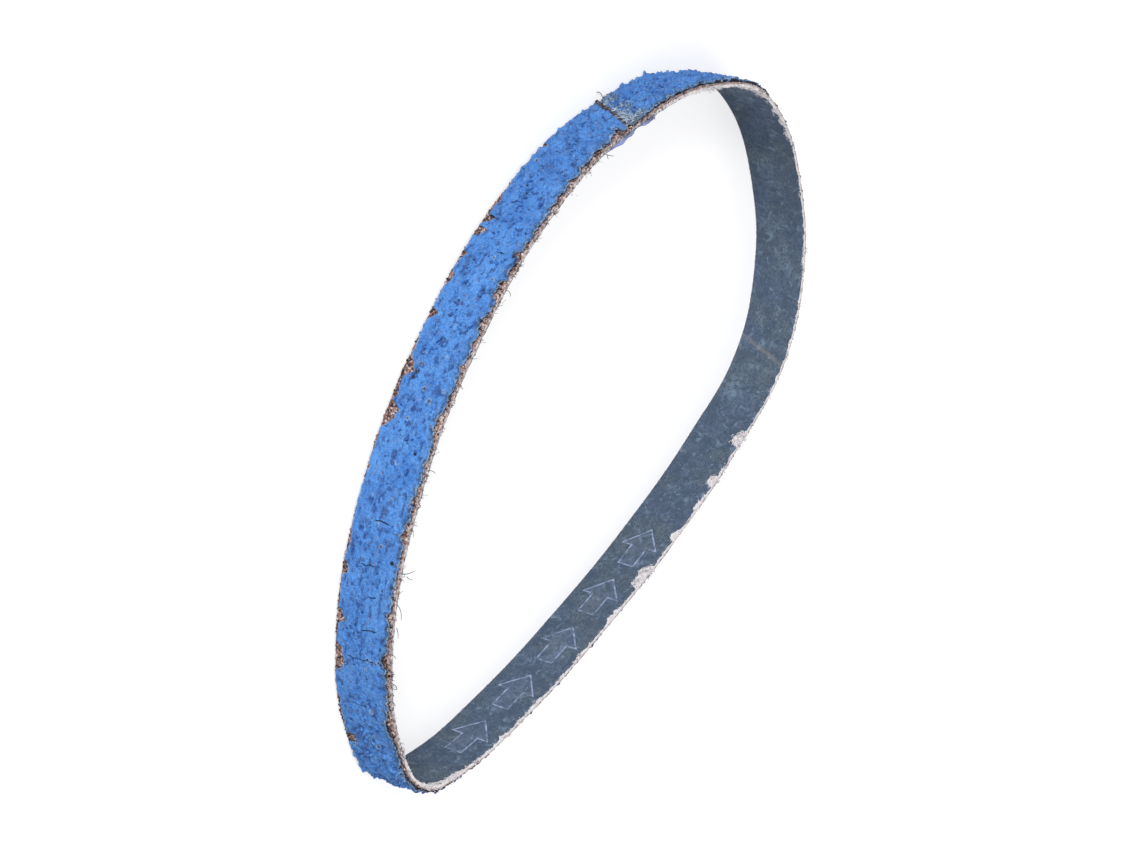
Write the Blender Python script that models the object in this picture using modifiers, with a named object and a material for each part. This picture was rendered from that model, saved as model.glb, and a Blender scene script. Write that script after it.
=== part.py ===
"""An endless file-sander belt, lying as a closed loop on one of its cut edges.

The belt is four bonded layers. Each is laid out flat first, at its developed length: it is
trimmed, cut on the slant at the splice and given its thickness. A curve then wraps all four
round the same loop. +Z runs across the belt's width, and the loop is longest along X.
"""

import random

import bmesh
import bpy
from mathutils import Vector, noise

# Sizes of the belt, in metres
BELT_LENGTH = 0.457
BELT_WIDTH = 0.013
CLOTH_THICKNESS = 0.00065
MAKE_COAT_THICKNESS = 0.00035
GRAIN_COAT_THICKNESS = 0.0005
TAPE_THICKNESS = 0.00012
BOND_GAP = 0.00003

# The butt splice: how far it slants along the belt, and the gap between the cut ends
SPLICE_SLANT = 0.008
SPLICE_GAP = 0.0002

# The film over the splice: its length, its setback from the far edge, its overhang at the near one
TAPE_LENGTH = 0.030
TAPE_SETBACK = 0.0005
TAPE_OVERHANG = 0.0009
TAPE_EDGE_PITCH = 0.0045

# How far each coat stops short of the cut edges: the far edge is the one that the belt lies on
MAKE_COAT_SETBACK = 0.0002
GRAIN_FAR_SETBACK = 0.0003
GRAIN_NEAR_SETBACK = 0.0008
EDGE_WANDER = 0.0004
EDGE_WANDER_PITCH = 0.0022

# The lumpy face of the grain coat, its least thickness and its thin lip
GRAIN_RELIEF = 0.00022
GRAIN_LEAST = 0.0001
GRAIN_PITCH = 0.0026
LIP_DROP = 0.00022
LIP_WIDTH = 0.0012

# The stretch before the splice that is ground thinner
SKIVE_LENGTH = 0.009
SKIVE_DEPTH = 0.00018

# Spacing of the cross lines that let a strip bend, and rows across the grain coat
STRIP_STATION = 0.002
GRAIN_STATION = 0.00092
TAPE_STATION = 0.001
SQUARE_WITHIN = 1e-7
GRAIN_ROWS = 5

# Chips out of the grain coat: place from the splice as a share of the belt, length, depth
FAR_CHIPS = (
    (0.037, 0.0018, 0.0011),
    (0.086, 0.0024, 0.0021),
    (0.093, 0.0025, 0.0020),
    (0.106, 0.0018, 0.0010),
    (0.118, 0.0022, 0.0011),
    (0.136, 0.0028, 0.0016),
    (0.161, 0.0046, 0.0019),
    (0.171, 0.0046, 0.0010),
    (0.182, 0.0055, 0.0025),
    (0.247, 0.0027, 0.0010),
    (0.267, 0.0025, 0.0014),
    (0.286, 0.0057, 0.0022),
    (0.328, 0.0027, 0.0024),
)
NEAR_CHIPS = (
    (0.011, 0.0055, 0.0012),
    (0.034, 0.0035, 0.0010),
    (0.100, 0.0018, 0.0010),
    (0.119, 0.0050, 0.0007),
    (0.134, 0.0020, 0.0012),
    (0.156, 0.0016, 0.0008),
    (0.181, 0.0050, 0.0008),
    (0.213, 0.0020, 0.0009),
    (0.227, 0.0050, 0.0008),
    (0.281, 0.0032, 0.0014),
    (0.312, 0.0060, 0.0011),
)

# Wear on the stretch that faces away: chips scattered along it, by share of the belt
WORN_FROM = 0.36
WORN_TO = 0.96
WORN_CHIPS = 12
WORN_CHIP_LENGTH = 0.0040
WORN_CHIP_DEPTH = 0.0016
WORN_LEAST_SHARE = 0.4
WEAR_SEED = 7

# The loop as it lies, in millimetres: once round from past the splice, which is the last point.
# It is scaled to the belt's length.
LOOP_OUTLINE = (
    (1, -53), (33.5, -45.5), (61, -30), (80, -8), (86.5, 16), (83.5, 29.5), (73, 37),
    (50, 44.5), (20, 50), (-12, 53), (-42, 52.5), (-68, 47.5), (-80, 35.5), (-86.5, 13),
    (-80, -19.5), (-63, -36), (-30, -50),
)

# Heights of the layers, measured outwards from the middle of the cloth
CLOTH_FACE = CLOTH_THICKNESS / 2
MAKE_COAT_FLOOR = CLOTH_FACE + BOND_GAP
MAKE_COAT_FACE = MAKE_COAT_FLOOR + MAKE_COAT_THICKNESS
GRAIN_FLOOR = MAKE_COAT_FACE + BOND_GAP
TAPE_MIDDLE = -(CLOTH_FACE + BOND_GAP + TAPE_THICKNESS / 2)

# Colours: red, green and blue, then roughness
FINISHES = {
    "cloth_backing": ((0.095, 0.130, 0.190), 0.85),
    "make_coat": ((0.200, 0.075, 0.050), 0.80),
    "grain_coat": ((0.080, 0.240, 0.610), 0.60),
    "splice_tape": ((0.420, 0.440, 0.720), 0.35),
}


def clear_scene():
    for thing in list(bpy.data.objects):
        bpy.data.objects.remove(thing, do_unlink=True)


def new_collection(name):
    collection = bpy.data.collections.new(name)
    bpy.context.scene.collection.children.link(collection)
    return collection


def material(name):
    colour, roughness = FINISHES[name]
    finish = bpy.data.materials.new(name)
    finish.use_nodes = True
    shader = finish.node_tree.nodes["Principled BSDF"]
    shader.inputs["Base Color"].default_value = (*colour, 1)
    shader.inputs["Roughness"].default_value = roughness
    shader.inputs["Metallic"].default_value = 0
    return finish


def belt_path(collection, parent):
    """The middle line of the cloth as one closed curve, as long as the belt."""
    curve = bpy.data.curves.new("belt_path", "CURVE")
    curve.dimensions = "3D"
    curve.twist_mode = "Z_UP"
    curve.resolution_u = 32
    spline = curve.splines.new("BEZIER")
    spline.bezier_points.add(len(LOOP_OUTLINE) - 1)
    spline.use_cyclic_u = True

    def place(scale):
        for point, (x, y) in zip(spline.bezier_points, LOOP_OUTLINE):
            point.handle_left_type = "AUTO"
            point.handle_right_type = "AUTO"
            point.co = (x * scale, y * scale, 0)

    place(1)
    place(BELT_LENGTH / spline.calc_length())
    path = bpy.data.objects.new("belt_path", curve)
    path.hide_render = True
    path.display_type = "WIRE"
    path.parent = parent
    collection.objects.link(path)
    return path


def flat_sheet(station, rows, low_edge, high_edge, first, last):
    """An open sheet with its length along X and its width between two edge lines along Z."""
    sheet = bmesh.new()
    stations = max(2, round((last - first) / station))
    bmesh.ops.create_grid(sheet, x_segments=stations, y_segments=rows, size=0.5)
    for vert in sheet.verts:
        along = first + (last - first) * (vert.co.x + 0.5)
        low, high = low_edge(along), high_edge(along)
        vert.co = (along, 0, low + (high - low) * (vert.co.y + 0.5))
    return sheet


def splice_line(across):
    """How far along the belt the slanting splice lies, at a place across its width."""
    return SPLICE_SLANT * (across / BELT_WIDTH - 0.5)


def cut_on_the_slant(sheet):
    """Trims both ends of a full-length sheet along the splice."""
    square_to_cut = Vector((BELT_WIDTH, 0, -SPLICE_SLANT)).normalized()
    for end, is_start in ((SPLICE_GAP / 2, True), (BELT_LENGTH - SPLICE_GAP / 2, False)):
        bmesh.ops.bisect_plane(
            sheet,
            geom=sheet.verts[:] + sheet.edges[:] + sheet.faces[:],
            dist=SQUARE_WITHIN,
            plane_co=(end, 0, BELT_WIDTH / 2),
            plane_no=square_to_cut,
            clear_inner=is_start,
            clear_outer=not is_start,
        )


def full_length_sheet(station, rows, low_edge, high_edge):
    spare = SPLICE_SLANT / 2 + station
    sheet = flat_sheet(station, rows, low_edge, high_edge, -spare, BELT_LENGTH + spare)
    cut_on_the_slant(sheet)
    return sheet


def move_out(sheet, height):
    """Lays a sheet at its height above the middle of the cloth. Outwards is -Y."""
    bmesh.ops.translate(sheet, verts=sheet.verts[:], vec=(0, -height, 0))


def add_piece(name, sheet, collection, parent):
    bmesh.ops.recalc_face_normals(sheet, faces=sheet.faces[:])
    mesh = bpy.data.meshes.new(name)
    sheet.to_mesh(mesh)
    sheet.free()
    mesh.materials.append(material(name))
    piece = bpy.data.objects.new(name, mesh)
    piece.parent = parent
    collection.objects.link(piece)
    return piece


def thicken(piece, thickness):
    """Gives an open sheet its thickness, half to each side."""
    solidify = piece.modifiers.new("thickness", "SOLIDIFY")
    solidify.thickness = thickness
    solidify.offset = 0


def wrap(piece, path):
    """Bends a flat piece round the loop, counterclockwise from above."""
    bend = piece.modifiers.new("wrap", "CURVE")
    bend.object = path
    bend.deform_axis = "POS_X"


def ripple(along, across, pitch, seed):
    """Smooth seeded noise, from about -1 to 1."""
    return noise.noise(Vector((along / pitch, across / pitch, seed)))


def chip_depth(chips, along):
    """How far the chips reach in from an edge at one place: each is a round bite."""
    deepest = 0
    for share, length, depth in chips:
        reach = 1 - ((along - share * BELT_LENGTH) / (length / 2)) ** 2
        if reach > 0:
            deepest = max(deepest, depth * reach**0.5)
    return deepest


def worn_chips():
    """Chips scattered along the stretch that faces away."""
    chance = random.Random(WEAR_SEED)
    return [
        (
            chance.uniform(WORN_FROM, WORN_TO),
            WORN_CHIP_LENGTH * chance.uniform(WORN_LEAST_SHARE, 1),
            WORN_CHIP_DEPTH * chance.uniform(WORN_LEAST_SHARE, 1),
        )
        for _ in range(WORN_CHIPS)
    ]


def cloth_backing(collection, parent, path):
    """The woven strip that everything is bonded to, cut square at both edges."""
    sheet = full_length_sheet(STRIP_STATION, 1, lambda along: 0, lambda along: BELT_WIDTH)
    piece = add_piece("cloth_backing", sheet, collection, parent)
    thicken(piece, CLOTH_THICKNESS)
    wrap(piece, path)


def make_coat(collection, parent, path):
    """The brown resin layer on the cloth's outer face."""
    sheet = full_length_sheet(
        STRIP_STATION,
        1,
        lambda along: MAKE_COAT_SETBACK,
        lambda along: BELT_WIDTH - MAKE_COAT_SETBACK,
    )
    move_out(sheet, MAKE_COAT_FLOOR + MAKE_COAT_THICKNESS / 2)
    piece = add_piece("make_coat", sheet, collection, parent)
    thicken(piece, MAKE_COAT_THICKNESS)
    wrap(piece, path)


def grain_height(along, across, inset):
    """Thickness of the grain coat at a point that lies inset from its nearer edge."""
    lumps = ripple(along, across, GRAIN_PITCH, 1) + ripple(along, across, GRAIN_PITCH / 2, 2) / 2
    height = GRAIN_COAT_THICKNESS + GRAIN_RELIEF * lumps
    height -= LIP_DROP * max(0, 1 - inset / LIP_WIDTH)
    if BELT_LENGTH + splice_line(across) - along < SKIVE_LENGTH:
        height -= SKIVE_DEPTH
    return max(height, GRAIN_LEAST)


def runs_along(edge):
    """Whether an edge of the flat sheet runs lengthwise and not across it."""
    return abs(edge.verts[1].co.x - edge.verts[0].co.x) > SQUARE_WITHIN


def grain_coat(collection, parent, path):
    """The blue coat: chipped edges, a flat underside on the make coat and a lumpy face."""
    worn = worn_chips()
    far_chips = [*FAR_CHIPS, *worn[::2]]
    near_chips = [*NEAR_CHIPS, *worn[1::2]]

    def low_edge(along):
        wander = EDGE_WANDER * abs(ripple(along, 0, EDGE_WANDER_PITCH, 3))
        return GRAIN_FAR_SETBACK + wander + chip_depth(far_chips, along)

    def high_edge(along):
        wander = EDGE_WANDER * ripple(along, 0, EDGE_WANDER_PITCH, 4)
        return BELT_WIDTH - GRAIN_NEAR_SETBACK - wander - chip_depth(near_chips, along)

    sheet = full_length_sheet(GRAIN_STATION, GRAIN_ROWS, low_edge, high_edge)
    move_out(sheet, GRAIN_FLOOR)
    floor_lines = [edge for edge in sheet.edges if not edge.is_boundary and runs_along(edge)]
    lifted = bmesh.ops.extrude_face_region(sheet, geom=sheet.faces[:])["geom"]
    for vert in lifted:
        if isinstance(vert, bmesh.types.BMVert):
            along, across = vert.co.x, vert.co.z
            inset = min(across - low_edge(along), high_edge(along) - across)
            vert.co.y -= grain_height(along, across, inset)
    bmesh.ops.dissolve_edges(sheet, edges=floor_lines, use_verts=True)
    piece = add_piece("grain_coat", sheet, collection, parent)
    wrap(piece, path)


def splice_tape(collection, parent, path):
    """The film across the splice on the inner face, ragged where it sticks out."""

    def high_edge(along):
        return BELT_WIDTH + TAPE_OVERHANG * abs(ripple(along, 0, TAPE_EDGE_PITCH, 5))

    half = TAPE_LENGTH / 2
    sheet = flat_sheet(TAPE_STATION, 1, lambda along: TAPE_SETBACK, high_edge, -half, half)
    move_out(sheet, TAPE_MIDDLE)
    piece = add_piece("splice_tape", sheet, collection, parent)
    thicken(piece, TAPE_THICKNESS)
    wrap(piece, path)


def centre_over_origin(collection, parent):
    """Moves the belt so that the middle of its outline stands over the origin."""
    bpy.context.view_layer.update()
    graph = bpy.context.evaluated_depsgraph_get()
    corners = [
        piece.matrix_world @ vert.co
        for piece in collection.objects
        if piece.type == "MESH"
        for vert in piece.evaluated_get(graph).data.vertices
    ]
    for axis in (0, 1):
        reach = [corner[axis] for corner in corners]
        parent.location[axis] -= (min(reach) + max(reach)) / 2


def main():
    clear_scene()
    belt = new_collection("sanding_belt")
    guides = new_collection("guides")
    middle = bpy.data.objects.new("belt_middle", None)
    belt.objects.link(middle)
    path = belt_path(guides, middle)
    for layer in (cloth_backing, make_coat, grain_coat, splice_tape):
        layer(belt, middle, path)
    centre_over_origin(belt, middle)


main()
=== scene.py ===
"""The looks of a worn file-sander belt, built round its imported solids.

Every piece is laid out flat first: X runs along the belt from the splice, Y across it from the
edge that it lies on, and Z outwards from the middle of the cloth. Then it is wrapped round the
loop. The flat place is kept on each piece as an attribute, in millimetres, and the materials
read it, so that every pattern follows the belt.
"""

import math

import bmesh
import bpy
import numpy as np
from bpy.props import FloatProperty, FloatVectorProperty, IntProperty, PointerProperty
from bpy.types import Operator, Panel, PropertyGroup
from mathutils import Matrix, Vector
from mathutils.geometry import interpolate_bezier


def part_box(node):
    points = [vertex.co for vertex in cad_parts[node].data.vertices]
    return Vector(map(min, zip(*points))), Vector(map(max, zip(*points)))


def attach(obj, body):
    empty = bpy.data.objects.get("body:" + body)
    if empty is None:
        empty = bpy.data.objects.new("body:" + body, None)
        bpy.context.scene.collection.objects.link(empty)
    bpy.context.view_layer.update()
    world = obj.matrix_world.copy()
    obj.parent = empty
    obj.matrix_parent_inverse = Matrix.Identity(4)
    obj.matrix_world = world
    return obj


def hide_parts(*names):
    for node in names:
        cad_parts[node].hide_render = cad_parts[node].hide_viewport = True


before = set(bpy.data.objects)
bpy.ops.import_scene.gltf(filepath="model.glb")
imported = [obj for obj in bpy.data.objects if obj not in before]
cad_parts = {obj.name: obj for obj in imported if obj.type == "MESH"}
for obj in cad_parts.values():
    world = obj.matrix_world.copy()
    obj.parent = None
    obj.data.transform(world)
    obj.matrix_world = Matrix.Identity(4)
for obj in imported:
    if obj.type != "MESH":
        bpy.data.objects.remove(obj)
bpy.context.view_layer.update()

bl_info = {
    "name": "Sanding belt",
    "version": (1, 0, 0),
    "blender": (4, 5, 0),
    "location": "3D View > Sidebar > Belt",
    "description": "Builds a worn file-sander belt round its solids, and the stage it lies on",
    "category": "Mesh",
}

MM = 0.001
FLAT = "flat"

# The loop as it lies, in millimetres: once round from past the splice, which is the last point.
# It is scaled to the belt's length.
LOOP_OUTLINE = (
    (1, -53), (33.5, -45.5), (61, -30), (80, -8), (86.5, 16), (83.5, 29.5), (73, 37),
    (50, 44.5), (20, 50), (-12, 53), (-42, 52.5), (-68, 47.5), (-80, 35.5), (-86.5, 13),
    (-80, -19.5), (-63, -36), (-30, -50),
)
STEPS_PER_POINT = 192

# Chips out of the grain coat: share of the belt from the splice, length, depth
FAR_CHIPS = (
    (0.037, 0.0018, 0.0011), (0.086, 0.0024, 0.0021), (0.093, 0.0025, 0.0020),
    (0.106, 0.0018, 0.0010), (0.118, 0.0022, 0.0011), (0.136, 0.0028, 0.0016),
    (0.161, 0.0046, 0.0019), (0.171, 0.0046, 0.0010), (0.182, 0.0055, 0.0025),
    (0.205, 0.0012, 0.0005), (0.247, 0.0027, 0.0010), (0.267, 0.0025, 0.0014),
    (0.286, 0.0057, 0.0022), (0.328, 0.0027, 0.0024),
)
NEAR_CHIPS = (
    (0.011, 0.0055, 0.0012), (0.034, 0.0035, 0.0010), (0.056, 0.0012, 0.0006),
    (0.100, 0.0018, 0.0010), (0.119, 0.0050, 0.0007), (0.134, 0.0020, 0.0012),
    (0.156, 0.0016, 0.0008), (0.181, 0.0050, 0.0008), (0.213, 0.0020, 0.0009),
    (0.227, 0.0050, 0.0008), (0.262, 0.0022, 0.0007), (0.281, 0.0032, 0.0014),
    (0.312, 0.0060, 0.0011), (0.337, 0.0020, 0.0009),
)

# The stretch that faces away: its chips are drawn at random from these ranges of share of the
# belt, length and depth
WORN_RANGES = ((0.36, 0.96), (0.001, 0.0045), (0.0005, 0.0019))
WORN_CHIPS = 34
WORN_SEED = 7

# Craters down to the resin: share of the belt, place across, radius, how dark from 0 to 1, which is
# how much painted shade fills it; the rest shows bare resin
CRATERS = (
    (0.162, 0.0034, 0.0009, 0.5), (0.1645, 0.0032, 0.0007, 0.5), (0.326, 0.0020, 0.0011, 0.1),
    (0.281, 0.0121, 0.0012, 0.9), (0.102, 0.0113, 0.0005, 0.6), (0.134, 0.0118, 0.0006, 0.6),
    (0.0355, 0.0080, 0.0005, 0.5), (0.0290, 0.0062, 0.0006, 0.5), (0.0180, 0.0071, 0.0005, 0.5),
    (0.0630, 0.0042, 0.0004, 0.7), (0.0530, 0.0085, 0.0004, 0.6), (0.1950, 0.0096, 0.0004, 0.8),
    (0.1930, 0.0031, 0.0004, 0.5), (0.2060, 0.0040, 0.0004, 0.3), (0.2400, 0.0110, 0.0005, 0.8),
    (0.9860, 0.0017, 0.0008, 0.9), (0.9930, 0.0008, 0.0007, 0.8),
)

# Cracks across the grain coat: share of the belt, from and to across it
CRACKS = (
    (0.2835, 0.0030, 0.0105), (0.2700, 0.0060, 0.0100), (0.3060, 0.0035, 0.0078),
    (0.3160, 0.0055, 0.0090), (0.3300, 0.0060, 0.0100), (0.2250, 0.0050, 0.0090),
    (0.2430, 0.0040, 0.0078), (0.2560, 0.0070, 0.0092), (0.1010, 0.0072, 0.0098),
    (0.4420, 0.0030, 0.0095), (0.6150, 0.0040, 0.0085), (0.7300, 0.0055, 0.0110),
    (0.7800, 0.0025, 0.0075), (0.9050, 0.0040, 0.0090),
)

# Radii that the grains, pits and spikes of the coat are drawn from, and the pits near the splice
GRAIN_RADII = (0.00028, 0.00062)
PIT_RADII = (0.00022, 0.00042)
SPIKE_RADII = (0.00035, 0.00055)
PITTED_STRETCH = (0.004, 0.040)

# Frayed stretches of the inner face's near edge: share of the belt from and to, depth
FRAYS = (
    (0.355, 0.392, 0.0011), (0.398, 0.404, 0.0005), (0.419, 0.427, 0.0006),
    (0.444, 0.459, 0.0006), (0.482, 0.492, 0.0006), (0.514, 0.527, 0.0009),
    (0.540, 0.559, 0.0023), (0.577, 0.586, 0.0011), (0.599, 0.613, 0.0010),
    (0.617, 0.626, 0.0016), (0.646, 0.658, 0.0024), (0.700, 0.706, 0.0004),
    (0.756, 0.762, 0.0005), (0.836, 0.842, 0.0009), (0.846, 0.853, 0.0012),
    (0.857, 0.864, 0.0010), (0.872, 0.905, 0.0015), (0.915, 0.982, 0.0008),
)

# Marks on the inner face: share of the belt, place across, half length, half width, strength
SMEARS = (
    (0.683, 0.0035, 0.0040, 0.0022, 0.8), (0.697, 0.0068, 0.0012, 0.0030, 0.5),
    (0.711, 0.0085, 0.0010, 0.0026, 0.4), (0.758, 0.0080, 0.0035, 0.0020, 0.4),
    (0.776, 0.0040, 0.0020, 0.0030, 0.3), (0.838, 0.0088, 0.0016, 0.0012, 0.8),
    (0.846, 0.0070, 0.0012, 0.0040, 0.3), (0.812, 0.0050, 0.0040, 0.0030, 0.25),
    (0.868, 0.0070, 0.0050, 0.0006, 0.35), (0.876, 0.0045, 0.0050, 0.0006, 0.35),
)
CREASE_SHARE = 0.7075
CREASE_SLANT = 0.0052
CREASE_WIDTH = 0.0011

# The weave that the materials show, in millimetres
RIB_PITCH = 0.46
TWILL_PITCH = 0.42

# Lobes of the splice film past the near edge: place from the splice, half length, reach
FILM_LOBES = ((0.0070, 0.0046, 0.00085), (-0.0030, 0.0026, 0.00125))

# The backing print: plain running-direction arrows, by share of the belt
ARROW_SHARES = (0.402, 0.440, 0.478, 0.516, 0.554)
ARROW_OUTLINE = (
    (0, 3.1), (6.2, 3.1), (6.2, 0.7), (12.0, 5.0), (6.2, 9.3), (6.2, 6.9), (0, 6.9),
)
ARROW_FOOT = 0.0016

# Loose threads at the near edge: share of the belt, then points as along, across and out in
# millimetres from there
THREADS = (
    (0.9880, ((0, 0.9, 1.0), (-0.3, 0.6, 1.9), (0.1, 0.3, 2.6), (0.9, 0.1, 3.1), (1.5, 0.4, 3.0))),
    (0.0300, ((0, 12.6, 0.0), (0.2, 13.5, -0.3), (-0.1, 14.3, -0.5), (-0.3, 14.9, -0.4))),
    (0.0305, ((0, 13.6, -0.3), (0.7, 14.0, -0.4), (1.2, 14.6, -0.2))),
    (0.0800, ((0, 12.8, 0.2), (0.7, 13.4, 0.4), (1.5, 13.3, 0.3))),
    (0.1170, ((0, 12.8, 0.2), (-0.3, 13.5, 0.1), (0.2, 14.2, -0.1), (0.9, 14.3, -0.2))),
    (0.1500, ((0, 12.9, 0.3), (0.3, 13.6, 0.4), (-0.4, 14.0, 0.2))),
    (0.2000, ((0, 12.9, 0.2), (-0.5, 13.7, 0.1), (0.1, 14.4, -0.3))),
    (0.2240, ((0, 12.9, 0.2), (0.6, 13.6, 0.3), (1.6, 13.7, 0.1))),
    (0.2430, ((0, 12.9, 0.2), (0.1, 13.9, -0.1), (-0.5, 14.6, -0.4), (-1.2, 15.4, -0.5))),
    (0.2435, ((0.1, 14.0, -0.2), (0.7, 14.5, -0.5), (0.4, 15.2, -0.6))),
    (0.2560, ((0, 13.0, 0.1), (0.5, 13.9, 0.0), (1.9, 14.3, -0.2), (3.0, 14.1, -0.3))),
    (0.2660, ((0, 13.4, 0.0), (0.9, 14.0, -0.1), (2.1, 13.9, 0.0))),
    (0.2780, ((0, 12.9, 0.2), (0.2, 13.6, 0.1), (0.8, 13.8, 0.0))),
    (0.2910, (
        (0, 12.9, 0.2), (0.3, 13.9, 0.0), (1.0, 14.3, 0.0), (1.4, 13.8, 0.1), (0.9, 13.4, 0.3),
    )),
    (0.3000, ((0, 12.9, 0.2), (0.4, 13.6, 0.1), (1.0, 13.5, 0.0))),
    (0.3300, ((0, 12.9, 0.3), (0.8, 13.6, 0.5), (1.4, 14.1, 0.2))),
    (0.5900, ((0, 12.8, -0.3), (1.2, 13.4, -0.6), (2.1, 13.2, -0.8))),
    (0.8300, ((0, 12.8, -0.3), (1.1, 13.5, -0.5), (1.9, 13.7, -0.3))),
    (0.9250, ((0, 12.9, -0.2), (0.4, 13.8, -0.4), (1.0, 14.3, -0.2))),
)

# Unevenness drawn by chance: pitch, seed, how many layers of it
NOISES = {
    "crack sway": (0.0022, 31, 3),
    "chip sides": (0.0007, 41, 3),
    "far edge": (0.0014, 42, 3),
    "near edge": (0.0014, 43, 3),
    "cut end": (0.0010, 44, 3),
    "torn edge": (0.0006, 45, 2),
    "set-back edge": (0.009, 46, 3),
    "lumps": (0.0028, 51, 2),
    "dents": (0.0007, 52, 2),
    "fine grain": (0.0006, 53, 2),
    "ground stretch": (0.0007, 54, 3),
    "teeth": (0.0013, 55, 2),
    "undercut": (0.0011, 61, 3),
    "wall shade": (0.0012, 62, 3),
    "resin at the near edge": (0.0008, 70, 3),
    "resin at the far edge": (0.0008, 71, 3),
    "resin grain": (0.0007, 72, 3),
    "fray": (0.0025, 81, 3),
    "deep fray": (0.0013, 82, 3),
    "cut cloth": (0.0007, 91, 3),
    "cloth face": (0.0012, 92, 3),
    "fray line": (0.0010, 93, 3),
    "film edge": (0.0013, 101, 3),
    "film sag": (0.003, 102, 1),
    "proud grains": (0.008, 111, 2),
    "tufts": (0.0016, 112, 3),
    "splice crumbs": (0.0016, 121, 3),
}

# Broad lamps: name, width, place
LAMPS = (
    ("key", 0.30, (0.28, -0.82, 0.32)),
    ("fill", 0.60, (0.50, 0.05, 0.80)),
    ("back", 0.40, (-0.25, 0.85, 0.22)),
)
FLOOR_SIZE = 6

# The camera: width of its sensor in millimetres, and how near and far it sees in metres
SENSOR = 36
NEAREST = 0.01
FARTHEST = 20


def srgb(red, green, blue):
    """A colour from its screen values, 0 to 255, as the linear values that Blender holds."""

    def linear(value):
        value /= 255
        return value / 12.92 if value <= 0.04045 else ((value + 0.055) / 1.055) ** 2.4

    return linear(red), linear(green), linear(blue)


def length_property(name, description, default):
    return FloatProperty(
        name=name, description=description, default=default, min=0, precision=6,
        unit="LENGTH", subtype="DISTANCE",
    )


def colour_property(name, description, default):
    return FloatVectorProperty(
        name=name, description=description, default=default, min=0, max=1, size=3,
        subtype="COLOR",
    )


def angle_property(name, description, degrees):
    return FloatProperty(
        name=name, description=description, default=math.radians(degrees), unit="ROTATION",
        subtype="ANGLE",
    )


def factor_property(name, description, default):
    return FloatProperty(name=name, description=description, default=default, min=0)


def count_property(name, description, default):
    return IntProperty(name=name, description=description, default=default, min=0)


class BeltSizes(PropertyGroup):
    """The belt's own sizes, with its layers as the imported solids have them."""

    length: length_property("Belt length", "Once round the middle of the cloth", 0.457)
    width: length_property("Belt width", "From cut edge to cut edge", 0.013)
    cloth: length_property("Cloth", "Thickness of the cloth backing", 0.00065)
    make: length_property("Make coat", "Thickness of the resin layer", 0.00035)
    coat: length_property("Grain coat", "Mean thickness of the blue coat", 0.0005)
    film: length_property("Film", "Thickness of the splice film", 0.00012)
    bond: length_property("Bond", "Gap that the layers keep", 0.00003)
    slant: length_property("Splice slant", "How far the splice runs along the belt", 0.008)
    splice_gap: length_property("Splice gap", "Gap between the cut ends", 0.0003)
    film_length: length_property("Film length", "Along the belt", 0.030)
    skive: length_property("Scuffed stretch", "Ground thin before the splice", 0.0085)


class BeltDetail(PropertyGroup):
    """How finely the surfaces are made, and how worn they are."""

    coat_grid: length_property("Coat grid", "Spacing of the grain coat's points", 0.00026)
    cloth_grid: length_property("Cloth grid", "Spacing of the cloth's points", 0.00040)
    make_grid: length_property("Resin grid", "Spacing of the resin's points", 0.00032)
    lump: length_property("Lumps", "Height of the broad lumps", 0.00014)
    dent: length_property("Dents", "Depth of the short dents", 0.00022)
    tooth: length_property("Teeth", "Height of the jagged grains at the sharp bends", 0.0011)
    lip: length_property("Lip", "How far the coat's near edge curls up", 0.00012)
    grain: length_property("Grains", "Height of the coated grains", 0.00020)
    pits: count_property("Pits", "Small pits over the whole belt", 330)
    grains: count_property("Coated grains", "Grains that show as bumps", 7000)
    spikes: count_property("Spikes", "Tall narrow grains, which show at the sharp bends", 420)
    grit_density: factor_property("Grit density", "Proud grains, per square millimetre", 0.5)
    crumb_density: factor_property("Crumb density", "Crumbs, per square millimetre", 6)
    fibre_density: factor_property("Fringe density", "Fibres, per square millimetre", 10)
    fibre_length: length_property("Fibre length", "Of the longest fibre in the fringe", 0.0011)
    fibre_width: length_property("Fibre width", "Across one fibre", 0.00013)
    thread_width: length_property("Thread width", "Across one loose thread", 0.00016)
    seed: count_property("Seed", "Chooses where chance puts things", 11)


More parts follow.
